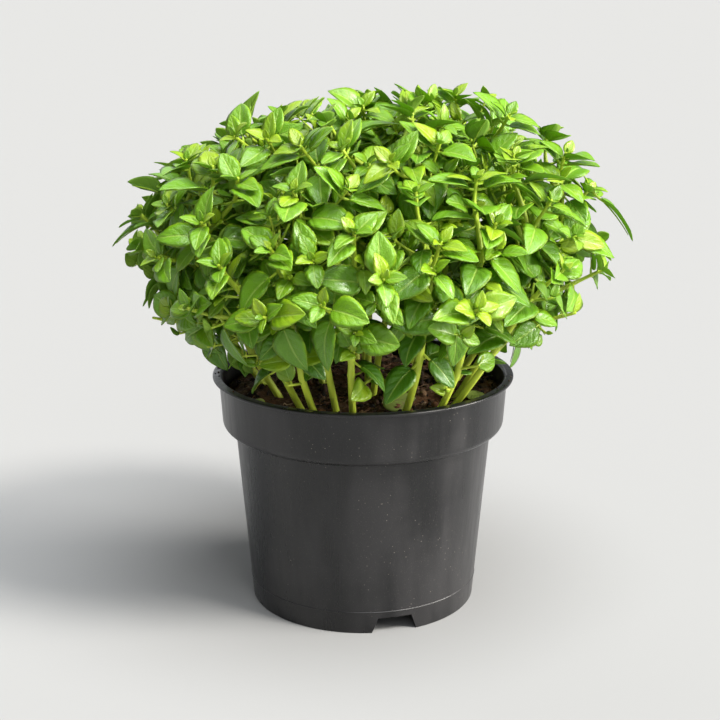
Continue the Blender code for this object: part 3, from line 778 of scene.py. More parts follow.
def grow_finer_leaves(
    tubes,
    chosen,
    ranks,
    first_rank,
    grid,
    rng,
    tries,
    chance=1.0,
    lowest=LOWEST_AXIL,
    bare=BARE_SHARE,
):
    """Leaf pairs as in the solids, for the tubes chosen, each pair crossing the one above it."""
    leaves = []
    for offset, (back, length, neck, rise, curl) in enumerate(ranks):
        rank = first_rank + offset
        for index in chosen:
            tube = tubes[index]
            gap = back * rng.uniform(0.92, 1.08)
            if gap > tube.length() * FINER_LEAFY_SHARE:
                continue
            if tube.place(gap)[0].z < lowest:
                continue
            for quarter in (rank % 2, rank % 2 + 2):
                if rng.random() > chance:
                    continue
                for attempt in range(tries):
                    loose = attempt / 8
                    shrink = 1.0 - SMALLER_EACH_TRY * attempt
                    leaf = leaf_at(
                        index, tube, gap, quarter, length * shrink, neck, rise, curl, rank, rng, loose
                    )
                    leaf.fold += max(0.0, rise - FOLDING_RISE) * FOLDING_SHARE
                    tip_height = leaf.root.z + leaf.along.z * (leaf.neck + leaf.length)
                    tip_height -= leaf.curl * leaf.length
                    if tip_height < BARE_HEIGHT and rng.random() < bare:
                        continue
                    trial = finer_leaf_is_clear(leaf, grid, min(NECK_CLEAR, neck + 0.0004))
                    if trial:
                        leaves.append(leaf)
                        grid.append(trial)
                        break
    return leaves


def grow_axil_shoots(tubes, grid, rng):
    """Short side shoots from the axils, where there is room for them."""
    made = []
    for index, tube in enumerate(tubes):
        for node, back in enumerate(AXIL_BACKS):
            gap = back * rng.uniform(0.95, 1.05)
            if gap > tube.length() * 0.9:
                break
            root, axis, _ = tube.place(gap)
            if root.z < LOWEST_AXIL:
                break
            first, second = tube.sides(axis)
            for side in (0, 1):
                if rng.random() > AXIL_CHANCE:
                    continue
                if root.z < BARE_AXILS and rng.random() < BARE_SHARE:
                    continue
                quarter = (node + 1) % 2 + 2 * side
                for _ in range(AXIL_TRIES):
                    turn = quarter * pi / 2 + rng.uniform(-0.5, 0.5)
                    out = first * cos(turn) + second * sin(turn)
                    outward = (root - CROWN_CENTRE).normalized()
                    way = out + axis * rng.uniform(0.5, 1.1) + outward * 0.5 + Vector((0, 0, 0.25))
                    span = AXIL_LENGTH * rng.uniform(*AXIL_LENGTHS)
                    tip = root + way.normalized() * span
                    middle = root.lerp(tip, 0.5) + out * span * 0.08
                    points = [root, middle, tip]
                    radii = [AXIL_RADIUS, (AXIL_RADIUS + AXIL_TIP_RADIUS) / 2, AXIL_TIP_RADIUS]
                    shoot = Tube(tube.stem, points, radii, facing_of(points, rng))
                    solid = tube_mesh([root.lerp(tip, 0.3), tip], radii[1:], 5, PROXY_MARGIN)
                    trial = Proxy(len(tubes) + len(made), *solid)
                    if not inside_box([tip]):
                        continue
                    if any(p.owner != index and trial.meets(p) for p in grid.near(trial)):
                        continue
                    made.append(shoot)
                    grid.append(trial)
                    break
    return made


def grow_gap_shoots(tubes, leaves, grid, rng):
    """More side shoots, to the places where the crown would be open between its shoot tips."""
    mains = [tube for tube in tubes if tube.points[0].z < SOIL_LEVEL]
    held = [tube.points[-1] for tube in tubes]
    held += [leaf.root + leaf.along * (leaf.neck + leaf.length * 0.5) for leaf in leaves]
    made = []
    for _ in range(GAP_TRIALS):
        z = rng.uniform(sin(radians(GAP_LOWEST)), 1.0)
        bearing = rng.uniform(-pi, pi)
        flat = sqrt(1 - z * z)
        direction = Vector((sin(bearing) * flat, -cos(bearing) * flat, z))
        surface = crown_point(direction)
        tip = surface.lerp(CROWN_CENTRE, rng.uniform(0.04, 0.22))
        if min((tip - place).length for place in held) < GAP_LEAST:
            continue
        near = sorted(mains, key=lambda main: (main.place(main.length() * 0.4)[0] - tip).length)
        for main in near[:GAP_STEMS]:
            start = shoot_start(main, tip)
            if start is None:
                continue
            point, tangent = start
            span = (tip - point).length
            if span > GAP_LONGEST:
                continue
            first = point + tangent * span * GAP_HANDLES[0]
            second = tip - growing_way(direction) * span * GAP_HANDLES[1]
            points, radii = shoot_curve(point, first, second, tip, GAP_RADIUS, AXIL_RADIUS)
            start_clear = [points[0].lerp(points[1], 0.5)] + points[1:]
            solid = tube_mesh(start_clear, radii, 5, PROXY_MARGIN)
            trial = Proxy(len(tubes) + len(made), *solid)
            if not inside_box(points[1:]):
                continue
            crossed = sum(1 for p in grid.near(trial) if trial.meets(p))
            if crossed > GAP_CROSSINGS:
                continue
            made.append(Tube(main.stem, points, radii, facing_of(points, rng)))
            held.append(tip)
            grid.append(trial)
            break
    return made


def lone_leaf(tube, back, root, along, up, neck, length, shape, fold, curl):
    """A single leaf that belongs to no pair; its shape is its width as a share of its length."""
    return Leaf(tube, back, 0, root, along, up, neck, length, length * shape, fold, curl, 0)


def noted_leaves(tubes):
    """The few single leaves that stand out of the crown's outline in the photo."""
    places = [(index, point) for index, tube in enumerate(tubes) for point in tube.points[1:]]
    leaves = []
    for tip, root, shape, fold, curl in NOTED_LEAVES:
        tip, root = Vector(tip), Vector(root)
        index, start = min(places, key=lambda place: (place[1] - root).length)
        along = (root - start).normalized().lerp((tip - start).normalized(), 0.75).normalized()
        outward = (start - CROWN_CENTRE).normalized()
        up = squared(outward + Vector((0, 0, 0.5)), along)
        reach = (tip - start).length
        neck = min(0.3 * reach, NOTED_NECK)
        length = reach - neck
        leaf = lone_leaf(index, NOTED_BACK, start, along, up, neck, length, shape, fold, curl)
        leaves.append(leaf)
    return leaves


def plan_finer_plant():
    """The plant of the solids, then the buds, lower leaves and axil shoots that only the looks have.

    Also gives the axil shoots that found no room for a leaf, which aren't built.
    """
    rng = Random(SEED)
    tubes = grow_tubes(rng)
    proxies = []
    for index, tube in enumerate(tubes):
        points, faces = tube_mesh(tube.points, tube.radii, 6, PROXY_MARGIN)
        proxies.append(Proxy(index, points, faces))
    leaves = grow_leaves(tubes, LEAF_RANKS, proxies, rng)
    grid = ProxyGrid(proxies)
    rng = Random(SEED + 7)
    whole = range(len(tubes))
    first = len(LEAF_RANKS)
    leaves += grow_finer_leaves(tubes, whole, BUD_RANKS, first, grid, rng, tries=6)
    leaves += grow_finer_leaves(
        tubes, whole, LOWER_RANKS, first, grid, rng, tries=14, chance=0.92, lowest=LOWEST_LEAF
    )
    gaps = grow_gap_shoots(tubes, leaves, grid, rng)
    gap_indexes = range(len(tubes), len(tubes) + len(gaps))
    tubes += gaps
    leaves += grow_finer_leaves(tubes, gap_indexes, LEAF_RANKS, 0, grid, rng, tries=10)
    leaves += grow_finer_leaves(tubes, gap_indexes, BUD_RANKS, first, grid, rng, tries=6)
    axils = grow_axil_shoots(tubes, grid, rng)
    axil_indexes = range(len(tubes), len(tubes) + len(axils))
    tubes += axils
    leaves += grow_finer_leaves(tubes, axil_indexes, AXIL_RANKS, first, grid, rng, tries=8, bare=0.0)
    leaves += noted_leaves(tubes)
    leafy = {leaf.tube for leaf in leaves}
    bare = {index for index in axil_indexes if index not in leafy}
    return tubes, leaves, bare


# Blade outline: how fast it widens from the stalk and narrows to the tip
BASE_POWER = 0.56
TIP_POWER = 0.90
TEETH = 6
TOOTH_DEPTH = 0.018
# How much one blade differs from the next, from and to: its outline's powers, the arch of its
# halves, its bow along and its ripples as shares of its length, its bend sideways and its twist
BASE_SPREAD = (-0.06, 0.06)
TIP_SPREAD = (-0.08, 0.12)
ARCHES = (0.42, 0.66)
BOWS = (0.0, 0.05)
RIPPLES = (0.004, 0.016)
RIPPLE_WAVES = 3.2
SIDE_BENDS = (-0.09, 0.09)
TWISTS = (-0.28, 0.28)
BLADE_THICKNESS = 0.00034
STALK_RADIUS = 0.00052
RIB_RADIUS = 0.00024
RIB_LEAST_LENGTH = 0.0125
# How finely a blade is made, as (its least length, rows along, columns across)
LARGE_BLADE = (0.0115, 11, 6)
MIDDLE_BLADE = (0.0062, 7, 4)
SMALL_BLADE = (0.0, 5, 4)
# A large blade is made plainer where it is nearer the crown's middle than this share of the way
# to its surface, and more than this above the soil
HIDDEN_SHARE = 0.62
HIDDEN_RISE = 0.03
# The fold of the blades in the looks, as a share of that in the solids
FOLD_SHARE = 0.84
# A shoot longer than this is made finely: the step along it and along a shorter one, how much
# slimmer it is than in the plan, how it tapers to its tip, how it swells at each leaf pair, and
# how square it is
LONG_SHOOT = 0.02
LONG_STEP = 0.0018
SHORT_STEP = 0.003
SLIMMER = 0.86
TAPER_LENGTH = 0.020
TAPER_END = 0.55
SWELLING = 0.20
SWELLING_REACH = 0.0013
SQUARENESS = 0.045
UPPER, UNDER, STALK = 0, 1, 2


def linked_object(name, mesh, materials, collection):
    """An object of a mesh, with its materials, in a collection."""
    for made in materials:
        mesh.materials.append(made)
    obj = bpy.data.objects.new(name, mesh)
    collection.objects.link(obj)
    return obj


class Growth:
    """Collects vertices, faces, materials and per-vertex values, and makes one object of them."""

    NAMES = ("along", "across", "tone", "age")

    def __init__(self):
        self.points = []
        self.faces = []
        self.kinds = []
        self.values = []
        self.count = 0

    def add(self, points, faces, kinds, values):
        """Points; faces as rows of 4, with -1 for a missing corner; a kind per face; 4 values each."""
        self.points.append(points)
        self.faces.append(np.where(faces >= 0, faces + self.count, -1))
        self.kinds.append(kinds)
        self.values.append(values)
        self.count += len(points)

    def object(self, name, materials):
        """The finished object. With a single material, all its faces have that one."""
        points = np.concatenate(self.points)
        faces = np.concatenate(self.faces)
        kinds = np.minimum(np.concatenate(self.kinds), len(materials) - 1)
        values = np.concatenate(self.values)
        sizes = (faces >= 0).sum(axis=1)
        corners = faces[faces >= 0]
        starts = np.concatenate(([0], np.cumsum(sizes)[:-1]))
        mesh = bpy.data.meshes.new(name)
        mesh.vertices.add(len(points))
        mesh.vertices.foreach_set("co", points.astype(np.float32).ravel())
        mesh.loops.add(len(corners))
        mesh.loops.foreach_set("vertex_index", corners.astype(np.int32))
        mesh.polygons.add(len(faces))
        mesh.polygons.foreach_set("loop_start", starts.astype(np.int32))
        mesh.polygons.foreach_set("material_index", kinds.astype(np.int32))
        mesh.update(calc_edges=True)
        mesh.validate()
        mesh.polygons.foreach_set("use_smooth", np.ones(len(mesh.polygons), dtype=bool))
        for column, label in enumerate(self.NAMES):
            layer = mesh.attributes.new(label, "FLOAT", "POINT")
            layer.data.foreach_set("value", np.ascontiguousarray(values[:, column], dtype=np.float32))
        mesh.update()
        return linked_object(name, mesh, materials, bpy.context.scene.collection)


def blade_layout(rows, columns):
    """Places over a blade and its faces: the upper grid, then the under grid that shares its rim."""
    u = 0.5 - 0.5 * np.cos(np.linspace(0, pi, rows + 1))
    u = 0.35 * np.linspace(0, 1, rows + 1) + 0.65 * u
    v = np.linspace(-1, 1, columns + 1)
    grid = [(i, j) for i in range(rows) for j in range(columns + 1)]
    places = [(u[i], v[j], 0.0) for i, j in grid] + [(1.0, 0.0, 0.0)]
    tip = len(grid)
    upper = {place: index for index, place in enumerate(grid)}
    under = dict(upper)
    for i, j in grid:
        if i > 0 and 0 < j < columns:
            under[i, j] = len(places)
            places.append((u[i], v[j], 1.0))
    faces = []
    for i in range(rows - 1):
        for j in range(columns):
            faces.append((upper[i, j], upper[i + 1, j], upper[i + 1, j + 1], upper[i, j + 1]))
            faces.append((under[i, j], under[i, j + 1], under[i + 1, j + 1], under[i + 1, j]))
    for j in range(columns):
        faces.append((upper[rows - 1, j], tip, upper[rows - 1, j + 1], -1))
        faces.append((under[rows - 1, j], under[rows - 1, j + 1], tip, -1))
    kinds = [UPPER, UNDER] * (len(faces) // 2)
    return *np.array(places).T, np.array(faces), np.array(kinds)


BLADE_SIZES = (LARGE_BLADE, MIDDLE_BLADE, SMALL_BLADE)
LAYOUTS = {size: blade_layout(size[1], size[2]) for size in BLADE_SIZES}


def unit(vector):
    return vector / np.linalg.norm(vector)


def vertex_values(along, across, tone, age):
    """The four values of each vertex, tone and age being the same for all."""
    return np.column_stack((along, across, np.full(len(along), tone), np.full(len(along), age)))


def blade_size(leaf):
    """How finely a blade is made, by its length and by how deep in the crown it is."""
    if leaf.length < MIDDLE_BLADE[0]:
        return SMALL_BLADE
    if leaf.length < LARGE_BLADE[0]:
        return MIDDLE_BLADE
    way = leaf.root - CROWN_CENTRE
    deep = way.length < HIDDEN_SHARE * (crown_point(way.normalized()) - CROWN_CENTRE).length
    return MIDDLE_BLADE if deep and leaf.root.z > SOIL_LEVEL + HIDDEN_RISE else LARGE_BLADE


def add_blade(growth, leaf, rng):
    """One blade: cupped along its midrib, each half arched, its tip bent, its margin toothed."""
    u, v, under, faces, kinds = LAYOUTS[blade_size(leaf)]
    base = BASE_POWER + rng.uniform(*BASE_SPREAD)
    taper = TIP_POWER + rng.uniform(*TIP_SPREAD)
    peak = base / (base + taper)
    widest = peak ** base * (1 - peak) ** taper
    outline = np.clip(u, 1e-6, 1) ** base * (1 - u) ** taper / widest
    teeth = 1 + TOOTH_DEPTH * (np.abs(u * TEETH % 1 - 0.5) * 2 - 0.5) * np.clip((u - 0.3) * 4, 0, 1)
    half = leaf.width / 2 * outline * np.where(np.abs(v) > 0.99, teeth, 1.0)
    half = np.maximum(half, STALK_RADIUS * 0.9 * (u < 0.02))
    y = v * half
    slope = tan(radians(leaf.fold * FOLD_SHARE))
    arch = rng.uniform(*ARCHES)
    z = slope * np.abs(y) * (1.18 - arch * np.abs(v) ** 1.3)
    z += -leaf.curl * leaf.length * u * u
    z += leaf.length * rng.uniform(*BOWS) * np.sin(pi * u)
    ripple = rng.uniform(*RIPPLES)
    z += leaf.length * ripple * np.sin(pi * (RIPPLE_WAVES * u + rng.uniform(0, 2))) * v * v
    thickness = BLADE_THICKNESS * min(1.0, leaf.length / 0.012)
    z -= under * thickness * (1 - 0.5 * v * v)
    x = leaf.length * u - leaf.length * 0.03 * np.abs(v) * (1 - u)
    y = y + rng.uniform(*SIDE_BENDS) * leaf.length * u * u
    twist = rng.uniform(*TWISTS) * u
    y, z = y * np.cos(twist) - z * np.sin(twist), y * np.sin(twist) + z * np.cos(twist)
    along, up = np.array(leaf.along), np.array(leaf.up)
    side = np.cross(up, along)
    start = np.array(leaf.root) + along * leaf.neck
    points = start + np.outer(x, along) + np.outer(y, side) + np.outer(z, up)
    tone = rng.random()
    growth.add(points, faces, kinds, vertex_values(u, v, tone, leaf.age))
    return tone


def add_rod(growth, centres, radii, sides, tone, age, squareness=0.0):
    """A stalk round a run of points, pointed at its far end."""
    centres = np.asarray(centres)
    count = len(centres)
    ahead = np.gradient(centres, axis=0)
    ahead /= np.linalg.norm(ahead, axis=1)[:, None]
    across = unit(np.cross(ahead[0], (0.31, 0.17, 0.94)))
    angles = np.arange(sides) * 2 * pi / sides
    bulge = 1 + squareness * np.cos(4 * angles)
    rings = np.empty((count, sides, 3))
    for k in range(count):
        across = unit(across - ahead[k] * np.dot(across, ahead[k]))
        other = np.cross(ahead[k], across)
        ring = np.outer(np.cos(angles) * bulge, across) + np.outer(np.sin(angles) * bulge, other)
        rings[k] = centres[k] + ring * radii[k]
    points = np.vstack((rings.reshape(-1, 3), centres[:1], centres[-1:] + ahead[-1:] * radii[-1] * 0.6))
    index = np.arange(count * sides).reshape(count, sides)
    ahead_of = np.roll(index, -1, axis=1)
    quads = np.stack((index[:-1], ahead_of[:-1], ahead_of[1:], index[1:]), axis=-1).reshape(-1, 4)
    start, end = count * sides, count * sides + 1
    none = np.full(sides, -1)
    first = np.column_stack((ahead_of[0], index[0], np.full(sides, start), none))
    last = np.column_stack((index[-1], ahead_of[-1], np.full(sides, end), none))
    faces = np.vstack((quads, first, last))
    along = np.repeat(np.linspace(0, 1, count), sides)
    along = np.concatenate((along, (0.0, 1.0)))
    across_value = np.concatenate((np.tile(angles / (2 * pi), count), (0.0, 0.0)))
    growth.add(points, faces, np.full(len(faces), STALK), vertex_values(along, across_value, tone, age))


def add_leaf_stalk(growth, leaf, tone):
    """The leaf's own stalk, and the rib under its blade where the blade is large enough."""
    along, up = np.array(leaf.along), np.array(leaf.up)
    root = np.array(leaf.root)
    scale = min(1.1, max(0.45, leaf.length / 0.015))
    reach = leaf.neck + leaf.length * 0.08
    steps = np.linspace(0, 1, 4)
    sag = np.sin(pi * steps) * leaf.neck * 0.10
    centres = root + np.outer(steps * reach, along) - np.outer(sag + steps * 0.0002, up)
    radii = STALK_RADIUS * scale * (1.25 - 0.45 * steps)
    add_rod(growth, centres, radii, 5, tone, leaf.age)
    if leaf.length < RIB_LEAST_LENGTH:
        return
    u = np.linspace(0.04, 0.86, 5)
    x = leaf.neck + leaf.length * u
    z = -leaf.curl * leaf.length * u * u - BLADE_THICKNESS * 0.9
    centres = root + np.outer(x, along) + np.outer(z, up)
    add_rod(growth, centres, RIB_RADIUS * scale * (1.5 - u), 4, tone, leaf.age * 0.5)


def smooth_path(points, radii, step):
    """Close points along a polyline with its corners rounded, and the radius at each."""
    points = [np.array(p) for p in points]
    gaps = [np.linalg.norm(b - a) for a, b in zip(points, points[1:])]
    places = np.concatenate(([0.0], np.cumsum(gaps)))
    count = max(4, int(places[-1] / step))
    samples_at = np.linspace(0, places[-1], count + 1)
    path = np.column_stack([np.interp(samples_at, places, [p[k] for p in points]) for k in range(3)])
    radius = np.interp(samples_at, places, radii)
    for _ in range(5):
        path[1:-1] = path[1:-1] * 0.5 + (path[:-2] + path[2:]) * 0.25
    return samples_at, path, radius


def add_stalk(growth, tube, nodes, rng, age):
    """A stem or shoot: slightly square, swollen at each leaf pair."""
    long_one = tube.length() > LONG_SHOOT
    places, path, radius = smooth_path(tube.points, tube.radii, LONG_STEP if long_one else SHORT_STEP)
    backs = places[-1] - places
    if long_one:
        taper = np.clip(backs / TAPER_LENGTH, 0, 1)
        radius = radius * SLIMMER * (TAPER_END + (1 - TAPER_END) * taper)
    for back in nodes:
        radius = radius * (1 + SWELLING * np.exp(-(((backs - back) / SWELLING_REACH) ** 2)))
    sides = 12 if tube.points[0].z < SOIL_LEVEL else 8 if long_one else 5
    add_rod(growth, path, radius, sides, rng.random(), age, SQUARENESS if long_one else 0.0)


# Shader building


class Shader:
    """A material's node tree, with short ways to add and join nodes."""

    def __init__(self, name):
        self.material = bpy.data.materials.new(name)
        self.material.use_nodes = True
        self.tree = self.material.node_tree
        self.tree.nodes.clear()
        self.output = self.tree.nodes.new("ShaderNodeOutputMaterial")

    def node(self, kind, **settings):
        made = self.tree.nodes.new(kind)
        for key, value in settings.items():
            setattr(made, key, value)
        return made

    def put(self, socket, value):
        if isinstance(value, bpy.types.NodeSocket):
            self.tree.links.new(value, socket)
        elif hasattr(value, "__len__") and len(value) == 3 and len(socket.default_value) == 4:
            socket.default_value = (*value, 1.0)
        else:
            socket.default_value = value

    def value(self, name):
        """One of the growth's per-vertex values."""
        return self.node("ShaderNodeAttribute", attribute_name=name).outputs["Fac"]

    def math(self, operation, a, b=0.0, clamp=False):
        made = self.node("ShaderNodeMath", operation=operation, use_clamp=clamp)
        self.put(made.inputs[0], a)
        self.put(made.inputs[1], b)
        return made.outputs[0]

    def plus(self, a, b, clamp=False):
        return self.math("ADD", a, b, clamp)

    def minus(self, a, b):
        return self.math("SUBTRACT", a, b)

    def times(self, a, b):
        return self.math("MULTIPLY", a, b)

    def ramp(self, factor, low, high, to_low=0.0, to_high=1.0):
        """A value that goes smoothly between two levels as the factor goes from low to high."""
        made = self.node("ShaderNodeMapRange", interpolation_type="SMOOTHSTEP")
        ends = (("From Min", low), ("From Max", high), ("To Min", to_low), ("To Max", to_high))
        for name, value in (("Value", factor), *ends):
            self.put(made.inputs[name], value)
        return made.outputs["Result"]

    def mix(self, factor, a, b):
        made = self.node("ShaderNodeMix", data_type="RGBA", blend_type="MIX")
        self.put(made.inputs[0], factor)
        self.put(made.inputs[6], a)
        self.put(made.inputs[7], b)
        return made.outputs[2]

    def colours(self, factor, stops):
        made = self.node("ShaderNodeValToRGB")
        elements = made.color_ramp.elements
        for _ in range(len(stops) - 2):
            elements.new(0.5)
        for element, (place, colour) in zip(elements, stops):
            element.position = place
            element.color = (*colour, 1.0)
        self.put(made.inputs[0], factor)
        return made.outputs["Color"]

    def place(self, scale=(1.0, 1.0, 1.0)):
        """Position on the object, in metres, times a scale."""
        where = self.node("ShaderNodeTexCoord").outputs["Object"]
        mapping = self.node("ShaderNodeMapping")
        self.put(mapping.inputs["Vector"], where)
        mapping.inputs["Scale"].default_value = scale
        return mapping.outputs["Vector"]

    def noise(self, where, scale, detail=2.0, roughness=0.5):
        made = self.node("ShaderNodeTexNoise")
        self.put(made.inputs["Vector"], where)
        made.inputs["Scale"].default_value = scale
        made.inputs["Detail"].default_value = detail
        made.inputs["Roughness"].default_value = roughness
        return made.outputs["Fac"]

    def cells(self, where, scale, feature="F1"):
        made = self.node("ShaderNodeTexVoronoi", feature=feature)
        self.put(made.inputs["Vector"], where)
        made.inputs["Scale"].default_value = scale
        return made

    def bump(self, height, distance, strength):
        made = self.node("ShaderNodeBump")
        self.put(made.inputs["Height"], height)
        made.inputs["Distance"].default_value = distance
        made.inputs["Strength"].default_value = strength
        return made.outputs["Normal"]

    def surface(self, **inputs):
        made = self.node("ShaderNodeBsdfPrincipled")
        for key, value in inputs.items():
            self.put(made.inputs[key.replace("_", " ")], value)
        return made.outputs["BSDF"]

    def finish(self, surface):
        self.tree.links.new(surface, self.output.inputs["Surface"])
        return self.material


# Side veins on each half of a blade, and how far they sweep forward to its margin
LATERAL_VEINS = 4.6
VEIN_SWEEP = 1.9


def vein_pattern(shader):
    """Distance from the midrib, the midrib, the side veins and the swell between them."""
    along = shader.value("along")
    across = shader.math("ABSOLUTE", shader.value("across"))
    midrib = shader.ramp(across, 0.02, 0.10, 1.0, 0.0)
    bend = shader.times(across, VEIN_SWEEP)
    course = shader.minus(shader.times(along, LATERAL_VEINS), bend)
    wander = shader.noise(shader.place(), 260.0, 2.0)
    course = shader.plus(course, shader.times(wander, 0.7))
    wave = shader.math("ABSOLUTE", shader.minus(shader.math("FRACT", course), 0.5))
    lateral = shader.ramp(wave, 0.40, 0.5, 0.0, 1.0)
    fade = shader.ramp(across, 0.45, 0.98, 1.0, 0.15)
    lateral = shader.times(lateral, fade)
    swell = shader.ramp(wave, 0.08, 0.5, 1.0, 0.0)
    return across, midrib, lateral, swell


def leaf_colour(shader, looks):
    """Blade colour from the leaf's age, its own tone and soft mottling."""
    mottle = shader.noise(shader.place(), 210.0, 3.0)
    drift = shader.times(shader.minus(shader.value("tone"), 0.5), 0.26)
    ripe = shader.plus(shader.value("age"), drift, clamp=True)
    ripe = shader.plus(ripe, shader.times(shader.minus(mottle, 0.5), 0.25), clamp=True)
    greens = looks.bud_green, looks.young_green, looks.full_green, looks.old_green
    return shader.colours(ripe, tuple(zip((0.0, 0.13, 0.42, 1.0), greens)))


def leaf_upper(looks):
    """Upper side of a blade: glossy, with sunk veins, paler along the veins and the margin."""
    shader = Shader("leaf_upper")
    across, midrib, lateral, swell = vein_pattern(shader)
    where = shader.place()
    colour = leaf_colour(shader, looks)
    colour = shader.mix(shader.times(lateral, 0.08), colour, looks.vein_green)
    colour = shader.mix(shader.times(midrib, 0.72), colour, looks.vein_green)
    margin = shader.ramp(across, 0.82, 1.0, 0.0, 0.80)
    colour = shader.mix(margin, colour, looks.margin_green)
    net = shader.cells(where, 1150.0, "DISTANCE_TO_EDGE").outputs["Distance"]
    net = shader.ramp(net, 0.0, 0.28, 0.0, 1.0)
    height = shader.plus(shader.times(swell, 0.5), shader.times(net, 0.3))
    height = shader.plus(height, shader.times(shader.noise(where, 330.0, 2.0), 0.9))
    height = shader.minus(height, shader.times(midrib, 0.8))
    depth = shader.ramp(shader.value("age"), 0.0, 0.35, 0.35, 1.0)
    normal = shader.bump(shader.times(height, depth), looks.vein_depth, 0.85)
    rough = shader.ramp(shader.noise(where, 160.0, 2.0), 0.3, 0.7, 0.32, 0.48)
    surface = shader.surface(
        Base_Color=colour,
        Roughness=rough,
        Normal=normal,
        Specular_IOR_Level=0.50,
        Coat_Weight=looks.leaf_gloss,
        Coat_Roughness=0.17,
    )
    return through_light(shader, surface, looks, normal, looks.through_upper)


def through_light(shader, surface, looks, normal, share):
    """Lets part of the light through a blade, tinted yellow-green."""
    glow = shader.node("ShaderNodeBsdfTranslucent")
    shader.put(glow.inputs["Color"], looks.through_colour)
    shader.put(glow.inputs["Normal"], normal)
    mixed = shader.node("ShaderNodeMixShader")
    mixed.inputs[0].default_value = share
    shader.put(mixed.inputs[1], surface)
    shader.put(mixed.inputs[2], glow.outputs[0])
    return shader.finish(mixed.outputs[0])


def leaf_under(looks):
    """Underside of a blade: paler and duller, with raised veins."""
    shader = Shader("leaf_underside")
    _, midrib, lateral, _ = vein_pattern(shader)
    colour = shader.mix(0.62, leaf_colour(shader, looks), looks.underside_green)
    colour = shader.mix(shader.times(lateral, 0.32), colour, looks.vein_green)
    height = shader.plus(shader.times(lateral, 0.9), midrib)
    height = shader.plus(height, shader.times(shader.noise(shader.place(), 900.0, 2.0), 0.3))
    normal = shader.bump(height, looks.vein_depth, 0.7)
    surface = shader.surface(Base_Color=colour, Roughness=0.62, Normal=normal, Specular_IOR_Level=0.22)
    return through_light(shader, surface, looks, normal, looks.through_under)


def faded_leaf(looks):
    """A dropped leaf: pale and dull, browning in patches."""
    shader = Shader("faded_leaf")
    _, midrib, lateral, _ = vein_pattern(shader)
    patches = shader.ramp(shader.noise(shader.place(), 420.0, 3.0), 0.50, 0.72, 0.0, 0.7)
    colour = shader.mix(patches, looks.faded_green, looks.soil_fibre)
    colour = shader.mix(shader.times(midrib, 0.5), colour, looks.vein_green)
    normal = shader.bump(shader.plus(lateral, midrib), looks.vein_depth, 0.6)
    surface = shader.surface(Base_Color=colour, Roughness=0.6, Normal=normal, Specular_IOR_Level=0.3)
    return through_light(shader, surface, looks, normal, 0.15)


def stalk_skin(looks):
    """Stems and stalks: juicy pale green, finely ridged, whiter near the soil."""
    shader = Shader("stalk_skin")
    where = shader.place()
    height = shader.node("ShaderNodeSeparateXYZ")
    shader.put(height.inputs[0], where)
    colour = shader.mix(shader.value("age"), looks.young_stalk, looks.stem_green)
    foot = shader.ramp(height.outputs["Z"], 0.108, 0.146, 0.90, 0.0)
    colour = shader.mix(foot, colour, looks.stem_foot)
    streaks = shader.noise(shader.place((1.0, 1.0, 0.06)), 1500.0, 2.0)
    colour = shader.mix(shader.ramp(streaks, 0.35, 0.75, 0.0, 0.30), colour, looks.stem_streak)
    lift = shader.ramp(shader.value("tone"), 0.0, 1.0, 0.0, 0.18)
    colour = shader.mix(lift, colour, looks.stem_streak)
    ridges = shader.math("SINE", shader.times(shader.value("across"), 2 * pi * 12))
    bumps = shader.plus(shader.times(ridges, 0.4), shader.noise(where, 1800.0, 2.0))
    normal = shader.bump(bumps, 0.00010, 0.6)
    surface = shader.surface(Base_Color=colour, Roughness=0.42, Normal=normal, Specular_IOR_Level=0.35)
    return through_light(shader, surface, looks, normal, 0.08)


def pot_plastic(looks):
    """Black moulded plastic: satin, with faint vertical drag marks, dust, and a lighter grey mixed in as
    vertical bands of painted sheen and blotches of dry water marks.
    """
    shader = Shader("pot_plastic")
    where = shader.place()
    drag = shader.noise(shader.place((1.0, 1.0, 0.05)), 420.0, 4.0, 0.6)
    # Vertical bands of painted sheen, and cloudy blotches of dry water marks, both mixed lighter into
    # the colour
    sheen_bands = shader.noise(shader.place((1.0, 1.0, 0.16)), 62.0, 3.0, 0.55)
    cloud = shader.noise(where, 30.0, 3.0)
    sheen_and_marks = shader.plus(shader.times(sheen_bands, 0.6), shader.times(cloud, 0.4))
    sheen_and_marks = shader.ramp(sheen_and_marks, 0.40, 0.62)
    dust_noise = shader.noise(where, 24.0, 2.0)
    specks = shader.cells(where, 430.0).outputs["Distance"]
    speck = shader.ramp(specks, 0.04, 0.11, 1.0, 0.0)
    speck = shader.times(speck, shader.ramp(dust_noise, 0.48, 0.62, 0.0, 1.0))
    fine = shader.ramp(shader.noise(where, 2200.0, 2.0), 0.60, 0.78, 0.0, 1.0)
    # Painted sheen and water marks: the colour goes to the lighter grey in the bands and blotches
    colour = shader.mix(sheen_and_marks, looks.pot_black, looks.pot_sheen_and_marks)
    colour = shader.mix(shader.times(fine, 0.13), colour, looks.dust)
    colour = shader.mix(shader.times(speck, 0.7), colour, looks.dust)
    rough = shader.ramp(drag, 0.3, 0.75, 0.24, 0.36)
    rough = shader.plus(rough, shader.times(sheen_and_marks, 0.10))
    rough = shader.plus(rough, shader.times(speck, 0.3))
    height = shader.plus(shader.times(drag, 0.5), shader.noise(where, 1400.0, 2.0))
    normal = shader.bump(height, 0.00004, 0.5)
    surface = shader.surface(Base_Color=colour, Roughness=rough, Normal=normal, Specular_IOR_Level=0.5)
    return shader.finish(surface)


